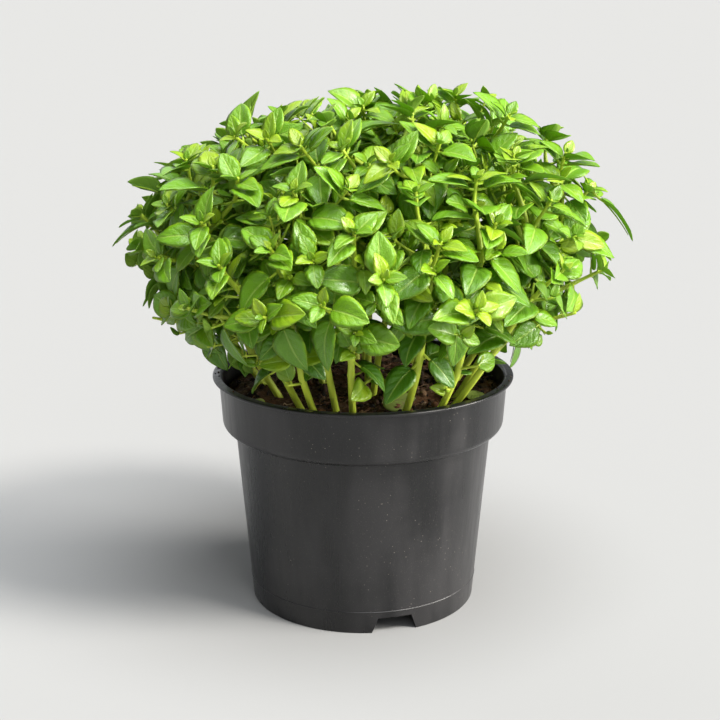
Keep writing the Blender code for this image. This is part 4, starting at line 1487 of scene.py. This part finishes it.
def peat(looks):
    """Moist potting soil: near black, with brown and reddish patches."""
    shader = Shader("peat")
    where = shader.place()
    grain = shader.noise(where, 620.0, 5.0, 0.65)
    patch = shader.noise(where, 130.0, 3.0)
    browns = looks.soil_dark, looks.soil_brown, looks.soil_fibre
    colour = shader.colours(grain, tuple(zip((0.0, 0.5, 1.0), browns)))
    colour = shader.mix(shader.ramp(patch, 0.45, 0.75, 0.0, 0.6), colour, looks.soil_red)
    normal = shader.bump(grain, 0.0012, 1.0)
    surface = shader.surface(Base_Color=colour, Roughness=0.92, Normal=normal, Specular_IOR_Level=0.3)
    return shader.finish(surface)


def crumb_skin(looks):
    """Loose crumbs and fibres on the soil, each with its own tone."""
    shader = Shader("soil_crumb")
    browns = looks.soil_dark, looks.soil_brown, looks.soil_red, looks.soil_fibre
    colour = shader.colours(shader.value("tone"), tuple(zip((0.0, 0.55, 0.80, 1.0), browns)))
    grain = shader.noise(shader.place(), 1500.0, 3.0)
    colour = shader.mix(shader.ramp(grain, 0.3, 0.7, 0.35, 0.0), colour, looks.soil_dark)
    normal = shader.bump(grain, 0.0003, 0.8)
    surface = shader.surface(Base_Color=colour, Roughness=0.85, Normal=normal, Specular_IOR_Level=0.35)
    return shader.finish(surface)


def pale_floor(looks):
    """Plain pale floor."""
    shader = Shader("pale_floor")
    surface = shader.surface(Base_Color=looks.floor, Roughness=0.8, Specular_IOR_Level=0.0)
    return shader.finish(surface)


# Pot: the parting line low on its body, how far its edges are rounded, and how thick the foot
# skirt is, as a share of the wall

PARTING_HEIGHT = 0.0097
PARTING_DEPTH = 0.00018
EDGE_ROUNDING = 0.00035
SKIRT_SHARE = 1.3
FINE_SEGMENTS = 180
DRAIN_SEGMENTS = 32
# How far the cuts for the notches and drain holes run past the pot's plastic
NOTCH_FLARE = 0.0004
CUT_BELOW = 0.001
CUT_REACH = 0.006
DRAIN_CUT = (-0.002, 0.004)


def rounded(profile, reach):
    """The profile with a short curve in place of each corner, at most that far from it."""
    made = [profile[0]]
    for before, corner, after in zip(profile, profile[1:], profile[2:]):
        back = Vector(before) - Vector(corner)
        ahead = Vector(after) - Vector(corner)
        cut = min(reach, back.length * 0.45, ahead.length * 0.45)
        if cut < 0.00005:
            made.append(corner)
            continue
        start = Vector(corner) + back.normalized() * cut
        end = Vector(corner) + ahead.normalized() * cut
        for t in (0.0, 0.25, 0.5, 0.75, 1.0):
            place = start.lerp(Vector(corner), t).lerp(Vector(corner).lerp(end, t), t)
            made.append((place.x, place.y))
    made.append(profile[-1])
    return made


def mesh_object(name, points, faces, materials=(), collection=None):
    mesh = bpy.data.meshes.new(name)
    mesh.from_pydata(points, [], faces)
    mesh.validate()
    return linked_object(name, mesh, materials, collection or bpy.context.scene.collection)


def turned_solid(name, rings, segments, materials):
    """Solid of rings about the axis, as (radius, height); the first and last are points on it.

    A height is a number, or a function that gives each point's height.
    """
    points, faces, starts = [], [], []
    for radius, height in rings:
        starts.append(len(points))
        for k in range(segments if radius else 1):
            angle = 2 * pi * k / segments
            x, y = radius * cos(angle), radius * sin(angle)
            points.append((x, y, height(x, y) if callable(height) else height))
    last = len(starts) - 2
    for number, (lower, upper) in enumerate(zip(starts, starts[1:])):
        for k in range(segments):
            n = (k + 1) % segments
            if number == 0:
                faces.append((lower, upper + n, upper + k))
            elif number == last:
                faces.append((lower + k, lower + n, upper))
            else:
                faces.append((lower + k, lower + n, upper + n, upper + k))
    return mesh_object(name, points, faces, materials)


def cut_away(obj, cutters):
    """Take a collection of objects away from a solid, then remove them."""
    modifier = obj.modifiers.new("holes", "BOOLEAN")
    modifier.operation = "DIFFERENCE"
    modifier.operand_type = "COLLECTION"
    modifier.collection = cutters
    modifier.solver = "EXACT"
    graph = bpy.context.evaluated_depsgraph_get()
    result = bpy.data.meshes.new_from_object(obj.evaluated_get(graph))
    obj.modifiers.remove(modifier)
    obj.data = result
    for cutter in list(cutters.objects):
        bpy.data.objects.remove(cutter)
    bpy.data.collections.remove(cutters)


def wall_radius(z):
    """Outer radius of the pot's body at a height."""
    return FOOT_RADIUS + (BODY_TOP_RADIUS - FOOT_RADIUS) * z / BODY_TOP_HEIGHT


def pot_outside():
    """The pot's outer profile from the foot to the top of the lip, as (radius, height)."""
    lip_under = POT_HEIGHT - LIP_THICKNESS
    rise = COLLAR_FOOT_HEIGHT - BODY_TOP_HEIGHT
    run = COLLAR_FOOT_RADIUS - BODY_TOP_RADIUS
    shoulder = [
        (BODY_TOP_RADIUS + run * sin(radians(a)), COLLAR_FOOT_HEIGHT - rise * cos(radians(a)))
        for a in range(0, 91, 15)
    ]
    ridge = [
        (wall_radius(PARTING_HEIGHT) + out, PARTING_HEIGHT + up)
        for out, up in ((0.0, -0.0003), (PARTING_DEPTH, -0.0001), (PARTING_DEPTH, 0.0001), (0.0, 0.0003))
    ]
    return (
        [(FOOT_RADIUS, 0.0)]
        + ridge
        + shoulder
        + [
            (COLLAR_TOP_RADIUS, lip_under - 0.0004),
            (LIP_RADIUS - 0.0003, lip_under),
            (LIP_RADIUS, lip_under + 0.0004),
            (LIP_RADIUS, POT_HEIGHT - 0.0004),
            (LIP_RADIUS - 0.0005, POT_HEIGHT),
            (COLLAR_TOP_RADIUS - 0.0006, POT_HEIGHT),
        ]
    )


def pot_inside():
    """The pot's inner profile from under the lip down to the floor, as (radius, height)."""
    floor = FLOOR_UNDERSIDE + FLOOR_THICKNESS
    return [
        (COLLAR_TOP_RADIUS - WALL, POT_HEIGHT - 0.0012),
        (COLLAR_FOOT_RADIUS - WALL, COLLAR_FOOT_HEIGHT + 0.0012),
        (BODY_TOP_RADIUS - WALL, BODY_TOP_HEIGHT + 0.0010),
        (wall_radius(floor) - WALL, floor),
    ]


def build_pot(looks):
    """The nursery pot, turned finely, with its foot notches and drain holes."""
    wall = WALL * SKIRT_SHARE
    under, over = FLOOR_UNDERSIDE, FLOOR_UNDERSIDE + FLOOR_THICKNESS
    skirt = [(wall_radius(under) - wall, under), (FOOT_RADIUS - wall, 0.0)]
    profile = [(0.0, under), *skirt, *pot_outside(), *pot_inside(), (0.0, over)]
    profile = rounded(profile, EDGE_ROUNDING)
    obj = turned_solid("pot_body", profile, FINE_SEGMENTS, [pot_plastic(looks)])
    cutters = bpy.data.collections.new("pot_holes")
    bpy.context.scene.collection.children.link(cutters)
    for k in range(NOTCH_COUNT):
        out = aim(NOTCH_BEARING + 360 * k / NOTCH_COUNT, 0)
        side = Vector((-out.y, out.x, 0))
        corners = (
            (-NOTCH_FOOT_WIDTH / 2 - NOTCH_FLARE, -CUT_BELOW),
            (NOTCH_FOOT_WIDTH / 2 + NOTCH_FLARE, -CUT_BELOW),
            (NOTCH_TOP_WIDTH / 2, NOTCH_HEIGHT),
            (-NOTCH_TOP_WIDTH / 2, NOTCH_HEIGHT),
        )
        points = [
            out * reach + side * half + Vector((0, 0, z))
            for reach in (FOOT_RADIUS - CUT_REACH, FOOT_RADIUS + CUT_REACH)
            for half, z in corners
        ]
        faces = [(3, 2, 1, 0), (4, 5, 6, 7), (0, 1, 5, 4), (1, 2, 6, 5), (2, 3, 7, 6), (3, 0, 4, 7)]
        mesh_object(f"notch_{k}", points, faces, (), cutters)
    for k in range(DRAIN_COUNT):
        centre = aim(NOTCH_BEARING + 360 * k / DRAIN_COUNT, 0) * DRAIN_CIRCLE
        ends = [centre + Vector((0, 0, FLOOR_UNDERSIDE + dz)) for dz in DRAIN_CUT]
        points, faces = tube_mesh(ends, [DRAIN_RADIUS] * 2, DRAIN_SEGMENTS)
        mesh_object(f"drain_{k}", points, faces, (), cutters)
    cut_away(obj, cutters)
    obj.data.shade_smooth()
    obj.data.set_sharp_from_angle(angle=radians(40))
    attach(obj, "root")
    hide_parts("pot")


# Soil

SOIL_TOP_RINGS = 84
SOIL_TOP_SEGMENTS = 220
# Loose bits on the soil: every so many crumbs a bit of bark. Sizes are half widths, from and to
CRUMBS = 950
CRUMB_LEAST = 0.00042
CRUMB_RANGE = 0.00125
BARK_EVERY = 38
BARK_SIZES = (0.0018, 0.0029)
FIBRES = 190
FIBRE_LENGTHS = (0.003, 0.011)
FIBRE_SIZES = (0.00008, 0.00022)
FIBRE_STEPS = 6
# Specks on the pot's lip
RIM_SPECKS = 26
SPECK_SIZES = (0.00018, 0.00050)
# How far the loose bits stay from the pot's wall
CRUMB_MARGIN = 0.0020


def soil_height(x, y):
    """Height of the soil: heaped a little, lumpy at four sizes, sunk a little at the wall."""
    edge = pot_inside()[0][0]
    share = min(1.0, hypot(x, y) / edge)
    base = SOIL_LEVEL + SOIL_CROWN * (1 - share * share)
    base -= (SOIL_LEVEL - SOIL_EDGE) * max(0.0, share - 0.8) * 5
    place = Vector((x, y, 0.0))
    lumps = 0.0013 * noise.noise(place * 60 + Vector((3, 1, 5)))
    lumps += 0.0012 * noise.noise(place * 190 + Vector((7, 2, 1)))
    lumps += 0.0008 * noise.noise(place * 480 + Vector((2, 9, 4)))
    lumps += 0.0004 * noise.noise(place * 1100)
    return base + lumps * (1 - 0.5 * share ** 8)


def build_soil(looks):
    """The soil body, with a finely lumpy top."""
    top, *side = [(radius - CLEARANCE, z + CLEARANCE) for radius, z in pot_inside()]
    side.reverse()
    share = (SOIL_EDGE - side[-1][1]) / (top[1] - side[-1][1])
    edge = side[-1][0] + (top[0] - side[-1][0]) * share
    rings = [(0.0, side[0][1]), *side, (edge, SOIL_EDGE - 0.001)]
    rings += [(edge * (1 - ring / SOIL_TOP_RINGS), soil_height) for ring in range(SOIL_TOP_RINGS)]
    rings.append((0.0, soil_height))
    obj = turned_solid("soil_body", rings, SOIL_TOP_SEGMENTS, [peat(looks)])
    obj.data.shade_smooth()
    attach(obj, "root")
    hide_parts("soil")


def lump_shape():
    """Corners and faces of a ball of 80 triangles."""
    ball = bmesh.new()
    bmesh.ops.create_icosphere(ball, subdivisions=2, radius=1.0)
    corners = np.array([v.co[:] for v in ball.verts])
    faces = np.array([[v.index for v in f.verts] + [-1] for f in ball.faces])
    ball.free()
    return corners, faces


def random_turn(rng):
    """A random rotation as a 3 by 3 array."""
    first = unit(np.array([rng.gauss(0, 1) for _ in range(3)]))
    second = unit(np.cross(first, [rng.gauss(0, 1) for _ in range(3)]))
    return np.stack((first, second, np.cross(first, second)))


def scatter_crumbs(growth, edge, rng):
    """Crumbs and bark bits on the soil, then specks on the pot's lip."""
    corners, faces = lump_shape()
    nothing = np.zeros(len(corners))
    for number in range(CRUMBS + RIM_SPECKS):
        on_rim = number >= CRUMBS
        bearing = rng.uniform(0, 2 * pi)
        if on_rim:
            size = rng.uniform(*SPECK_SIZES)
            reach = rng.uniform(COLLAR_TOP_RADIUS - 0.0002, LIP_RADIUS - 0.0009)
            z = POT_HEIGHT + size * 0.25
        else:
            size = CRUMB_LEAST + CRUMB_RANGE * rng.random() ** 2.6
            if number % BARK_EVERY == 0:
                size = rng.uniform(*BARK_SIZES)
            reach = edge * sqrt(rng.random())
            z = soil_height(reach * cos(bearing), reach * sin(bearing))
            z += size * rng.uniform(-0.1, 0.45)
        squash = (rng.uniform(0.7, 1.5), rng.uniform(0.6, 1.1), rng.uniform(0.45, 0.8))
        rough = 1 + np.array([rng.uniform(-0.22, 0.22) for _ in corners])
        shape = corners * rough[:, None] * squash @ random_turn(rng)
        centre = np.array((reach * cos(bearing), reach * sin(bearing), z))
        tone = 0.05 + 0.9 * rng.random() ** 1.8
        values = vertex_values(nothing, nothing, tone, 0.0)
        growth.add(centre + shape * size, faces, np.zeros(len(faces), dtype=int), values)


def scatter_fibres(growth, edge, rng):
    """Thin bent fibres that lie on the soil."""
    for _ in range(FIBRES):
        bearing = rng.uniform(0, 2 * pi)
        reach = edge * sqrt(rng.random()) * 0.97
        start = np.array((reach * cos(bearing), reach * sin(bearing), 0.0))
        way = rng.uniform(0, 2 * pi)
        bend = rng.uniform(-1.2, 1.2)
        length = rng.uniform(*FIBRE_LENGTHS)
        centres = []
        for step in range(FIBRE_STEPS + 1):
            t = step / FIBRE_STEPS
            turned = way + bend * t
            place = start + length * t * np.array((cos(turned), sin(turned), 0.0))
            if hypot(place[0], place[1]) > edge:
                break
            lift = 0.0005 + 0.0012 * t * rng.random()
            centres.append((place[0], place[1], soil_height(place[0], place[1]) + lift))
        if len(centres) < 4:
            continue
        radii = np.full(len(centres), rng.uniform(*FIBRE_SIZES))
        add_rod(growth, centres, radii, 5, rng.uniform(0.6, 1.0), 0.0)


def build_crumbs(looks):
    """Loose crumbs, bark bits and fibres on the soil, and a few specks on the pot's lip."""
    rng = Random(SEED + 11)
    growth = Growth()
    edge = pot_inside()[0][0] - CRUMB_MARGIN
    scatter_crumbs(growth, edge, rng)
    scatter_fibres(growth, edge, rng)
    obj = growth.object("soil_crumbs", [crumb_skin(looks)])
    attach(obj, "root")


# Leaves that have dropped on the soil, as (middle, way along, way the upper side faces, length)
FALLEN_LEAVES = (
    ((0.0150, -0.0380, 0.0985), (0.97, 0.05, 0.16), (0.0, -0.75, 0.66), 0.0135),
    ((0.0480, -0.0225, 0.0965), (0.55, 0.83, 0.06), (-0.10, -0.45, 0.89), 0.0125),
    ((-0.0440, -0.0300, 0.0952), (0.56, -0.83, 0.05), (0.10, -0.30, 0.95), 0.0105),
)
FALLEN_WIDTH = 0.70
FALLEN_FOLD = 12.0
FALLEN_CURL = 0.10


def build_fallen_leaves(looks):
    """A few pale leaves that have dropped on the soil."""
    rng = Random(SEED + 31)
    growth = Growth()
    for middle, along, up, length in FALLEN_LEAVES:
        along = Vector(along).normalized()
        root = Vector(middle) - along * length / 2
        up = squared(Vector(up), along)
        leaf = lone_leaf(0, 0.0, root, along, up, 0.0, length, FALLEN_WIDTH, FALLEN_FOLD, FALLEN_CURL)
        add_blade(growth, leaf, rng)
    obj = growth.object("fallen_leaves", [faded_leaf(looks)])
    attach(obj, "root")


# Plant

# How much wider a blade is in the looks than in the plan, from and to
WIDER = (1.03, 1.23)


def build_plant(looks):
    """Every leafy stem as one piece: its stalks, leaf stalks, blades and buds."""
    tubes, leaves, bare = plan_finer_plant()
    materials = [leaf_upper(looks), leaf_under(looks), stalk_skin(looks)]
    rng = Random(SEED + 21)
    leaves_of = {}
    for leaf in leaves:
        leaves_of.setdefault(leaf.tube, []).append(leaf)
    for number, stem in enumerate(sorted({tube.stem for tube in tubes}), 1):
        growth = Growth()
        for index, tube in enumerate(tubes):
            if tube.stem != stem or index in bare:
                continue
            own = leaves_of.get(index, [])
            nodes = sorted({round(leaf.back, 4) for leaf in own})
            add_stalk(growth, tube, nodes, rng, 1.0 if tube.length() > LONG_SHOOT else 0.3)
            for leaf in own:
                leaf.width *= rng.uniform(*WIDER)
                ripeness = 1 - exp(-leaf.back / looks.ripening) + rng.uniform(-0.04, 0.04)
                leaf.age = max(0.0, min(1.0, ripeness))
                tone = add_blade(growth, leaf, rng)
                add_leaf_stalk(growth, leaf, tone)
        obj = growth.object(f"leafy_stem_{number:02d}", materials)
        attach(obj, "root")
        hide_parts(f"stem_{number:02d}")


# Stage

# Lights, as (name, the way they come from, how many degrees wide they look, strength, colour),
# the last two as names of the stage's settings
LIGHTS = (
    ("key", (0.66, -0.40, 0.87), 14.0, "key_power", "key_colour"),
    ("side", (1.05, -0.15, 0.25), 26.0, "side_power", "key_colour"),
    ("top", (0.18, -0.26, 1.19), 44.0, "top_power", "cool_colour"),
    ("front", (0.30, -1.35, 0.77), 29.0, "front_power", "cool_colour"),
    ("back", (-0.35, 0.85, 0.55), 50.0, "back_power", "cool_colour"),
)
# Camera that fits the photo: place, degrees it looks down, and lens on a square picture this wide
CAMERA_PLACE = (-0.0013, -0.600, 0.2689)
CAMERA_DOWN = 15.23
CAMERA_LENS = 71.75
SENSOR_WIDTH = 36.0


def soft_sun(name, way, spread, strength, colour):
    """Even light from one way, with the soft shadows of a lamp that looks so many degrees wide."""
    lamp = bpy.data.lights.new(name, "SUN")
    lamp.angle = radians(spread)
    lamp.energy = strength
    lamp.color = colour
    obj = bpy.data.objects.new(name, lamp)
    obj.location = way
    obj.rotation_euler = (-Vector(way)).to_track_quat("-Z", "Y").to_euler()
    bpy.context.scene.collection.objects.link(obj)


def build_stage(looks, stage):
    """Pale floor, soft light and the camera at the photo's viewing angle."""
    scene = bpy.context.scene
    half = stage.floor_size / 2
    corners = [(-half, -half, 0.0), (half, -half, 0.0), (half, half, 0.0), (-half, half, 0.0)]
    floor = mesh_object("floor", corners, [(0, 1, 2, 3)], [pale_floor(looks)])
    world = bpy.data.worlds.new("soft_room")
    world.use_nodes = True
    sky = world.node_tree.nodes["Background"]
    sky.inputs["Color"].default_value = (*stage.world_colour, 1.0)
    sky.inputs["Strength"].default_value = stage.world_strength
    scene.world = world
    for name, way, spread, strength, colour in LIGHTS:
        soft_sun(name, way, spread, getattr(stage, strength), getattr(stage, colour))
    lens = bpy.data.cameras.new("photo_view")
    lens.lens = CAMERA_LENS
    lens.sensor_width = SENSOR_WIDTH
    lens.clip_start = 0.01
    lens.clip_end = 200.0
    camera = bpy.data.objects.new("photo_view", lens)
    camera.location = CAMERA_PLACE
    camera.rotation_euler = (radians(90 - CAMERA_DOWN), 0.0, 0.0)
    scene.collection.objects.link(camera)
    scene.camera = camera
    scene.view_settings.view_transform = "Standard"


# Settings


def colour_setting(name, description, default):
    return FloatVectorProperty(
        name=name, description=description, subtype="COLOR", default=default, min=0.0, max=1.0
    )


def length_setting(name, description, default, low, high):
    return FloatProperty(
        name=name, description=description, default=default, min=low, max=high, unit="LENGTH"
    )


def share_setting(name, description, default):
    return FloatProperty(
        name=name, description=description, default=default, min=0.0, max=1.0, subtype="FACTOR"
    )


def strength_setting(name, description, default):
    return FloatProperty(name=name, description=description, default=default, min=0.0, max=50.0)


class BasilLooks(PropertyGroup):
    """Colours and depths of the surfaces."""

    bud_green: colour_setting("Bud", "Colour of the youngest leaves", (0.315, 0.465, 0.012))
    young_green: colour_setting("Young leaf", "Colour of young leaves", (0.168, 0.355, 0.010))
    full_green: colour_setting("Grown leaf", "Colour of grown leaves", (0.168, 0.378, 0.011))
    old_green: colour_setting("Old leaf", "Colour of the oldest leaves", (0.060, 0.185, 0.006))
    underside_green: colour_setting("Underside", "Tint of the undersides", (0.24, 0.35, 0.085))
    vein_green: colour_setting("Veins", "Colour of veins and margins", (0.400, 0.600, 0.090))
    margin_green: colour_setting("Margins", "Colour of the blades' margins", (0.350, 0.550, 0.014))
    through_colour: colour_setting("Light through", "Tint of light through a blade", (0.42, 0.72, 0.025))
    young_stalk: colour_setting("Young stalk", "Colour of thin stalks", (0.30, 0.50, 0.026))
    stem_green: colour_setting("Stem", "Colour of stems", (0.41, 0.56, 0.028))
    stem_streak: colour_setting("Stem streak", "Pale streaks on stems", (0.60, 0.72, 0.12))
    stem_foot: colour_setting("Stem foot", "Colour of stems near the soil", (0.60, 0.72, 0.060))
    pot_black: colour_setting("Pot", "Colour of the pot", (0.0050, 0.0050, 0.0055))
    # Lighter grey of the pot's painted sheen bands and of its dry water marks
    pot_sheen_and_marks: colour_setting("Pot haze", "Hazy patches on the pot", (0.0200, 0.0192, 0.0200))
    dust: colour_setting("Dust", "Colour of dust on the pot", (0.26, 0.235, 0.20))
    soil_dark: colour_setting("Dark soil", "Darkest soil", (0.0065, 0.0040, 0.0028))
    soil_brown: colour_setting("Brown soil", "Middle soil", (0.066, 0.031, 0.013))
    soil_red: colour_setting("Reddish bits", "Reddish crumbs", (0.20, 0.085, 0.034))
    soil_fibre: colour_setting("Fibres", "Palest fibres and crumbs", (0.32, 0.23, 0.13))
    faded_green: colour_setting("Dropped leaf", "Colour of leaves on the soil", (0.36, 0.46, 0.10))
    floor: colour_setting("Floor", "Colour of the floor", (0.290, 0.290, 0.287))
    vein_depth: length_setting("Vein depth", "Depth of the vein relief", 0.00034, 0.0, 0.002)
    leaf_gloss: share_setting("Leaf gloss", "Weight of the clear waxy layer", 0.26)
    through_upper: share_setting("Through, upper", "Light through the upper side", 0.26)
    through_under: share_setting("Through, under", "Light through the underside", 0.32)
    ripening: length_setting("Ripening", "Distance over which leaves turn green", 0.020, 0.005, 0.1)


class BasilStage(PropertyGroup):
    """Light and floor."""

    floor_size: length_setting("Floor size", "Side of the floor", 80.0, 1.0, 200.0)
    world_colour: colour_setting("Room", "Colour of the room light", (0.93, 0.96, 1.0))
    world_strength: strength_setting("Room light", "Strength of the room light", 0.30)
    key_colour: colour_setting("Key colour", "Colour of the key light", (1.0, 0.965, 0.91))
    cool_colour: colour_setting("Cool colour", "Colour of the other lights", (0.96, 0.98, 1.0))
    key_power: strength_setting("Key power", "Strength of the key light", 3.6)
    side_power: strength_setting("Side power", "Strength of the low side light", 5.2)
    top_power: strength_setting("Top power", "Strength of the top light", 3.75)
    front_power: strength_setting("Front power", "Strength of the front light", 0.45)
    back_power: strength_setting("Back power", "Strength of the back light", 0.6)


class BASIL_OT_pot(Operator):
    """Build the nursery pot"""

    bl_idname = "basil.pot"
    bl_label = "Pot"

    def execute(self, context):
        build_pot(context.scene.basil_looks)
        return {"FINISHED"}


class BASIL_OT_soil(Operator):
    """Build the soil"""

    bl_idname = "basil.soil"
    bl_label = "Soil"

    def execute(self, context):
        build_soil(context.scene.basil_looks)
        return {"FINISHED"}


class BASIL_OT_crumbs(Operator):
    """Scatter crumbs and fibres on the soil"""

    bl_idname = "basil.crumbs"
    bl_label = "Crumbs"

    def execute(self, context):
        build_crumbs(context.scene.basil_looks)
        return {"FINISHED"}


class BASIL_OT_fallen(Operator):
    """Drop a few pale leaves on the soil"""

    bl_idname = "basil.fallen"
    bl_label = "Dropped leaves"

    def execute(self, context):
        build_fallen_leaves(context.scene.basil_looks)
        return {"FINISHED"}


class BASIL_OT_plant(Operator):
    """Grow the leafy stems"""

    bl_idname = "basil.plant"
    bl_label = "Plant"

    def execute(self, context):
        build_plant(context.scene.basil_looks)
        return {"FINISHED"}


class BASIL_OT_stage(Operator):
    """Set up the floor, lights and camera"""

    bl_idname = "basil.stage"
    bl_label = "Stage"

    def execute(self, context):
        build_stage(context.scene.basil_looks, context.scene.basil_stage)
        return {"FINISHED"}


class BASIL_PT_panel(Panel):
    """Buttons and settings of the basil in the sidebar"""

    bl_idname = "BASIL_PT_panel"
    bl_label = "Potted basil"
    bl_space_type = "VIEW_3D"
    bl_region_type = "UI"
    bl_category = "Basil"

    def draw(self, context):
        layout = self.layout
        for step in STEPS:
            layout.operator(step.bl_idname)
        for group in (context.scene.basil_looks, context.scene.basil_stage):
            box = layout.box()
            for name in group.__annotations__:
                box.prop(group, name)


STEPS = (BASIL_OT_pot, BASIL_OT_soil, BASIL_OT_crumbs, BASIL_OT_fallen, BASIL_OT_plant, BASIL_OT_stage)
CLASSES = (BasilLooks, BasilStage, *STEPS, BASIL_PT_panel)


def register():
    for made in CLASSES:
        bpy.utils.register_class(made)
    bpy.types.Scene.basil_looks = PointerProperty(type=BasilLooks)
    bpy.types.Scene.basil_stage = PointerProperty(type=BasilStage)


def unregister():
    del bpy.types.Scene.basil_stage
    del bpy.types.Scene.basil_looks
    for made in reversed(CLASSES):
        bpy.utils.unregister_class(made)


def main():
    register()
    bpy.ops.basil.pot()
    bpy.ops.basil.soil()
    bpy.ops.basil.crumbs()
    bpy.ops.basil.fallen()
    bpy.ops.basil.plant()
    bpy.ops.basil.stage()
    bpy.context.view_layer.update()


if __name__ == "__main__":
    main()
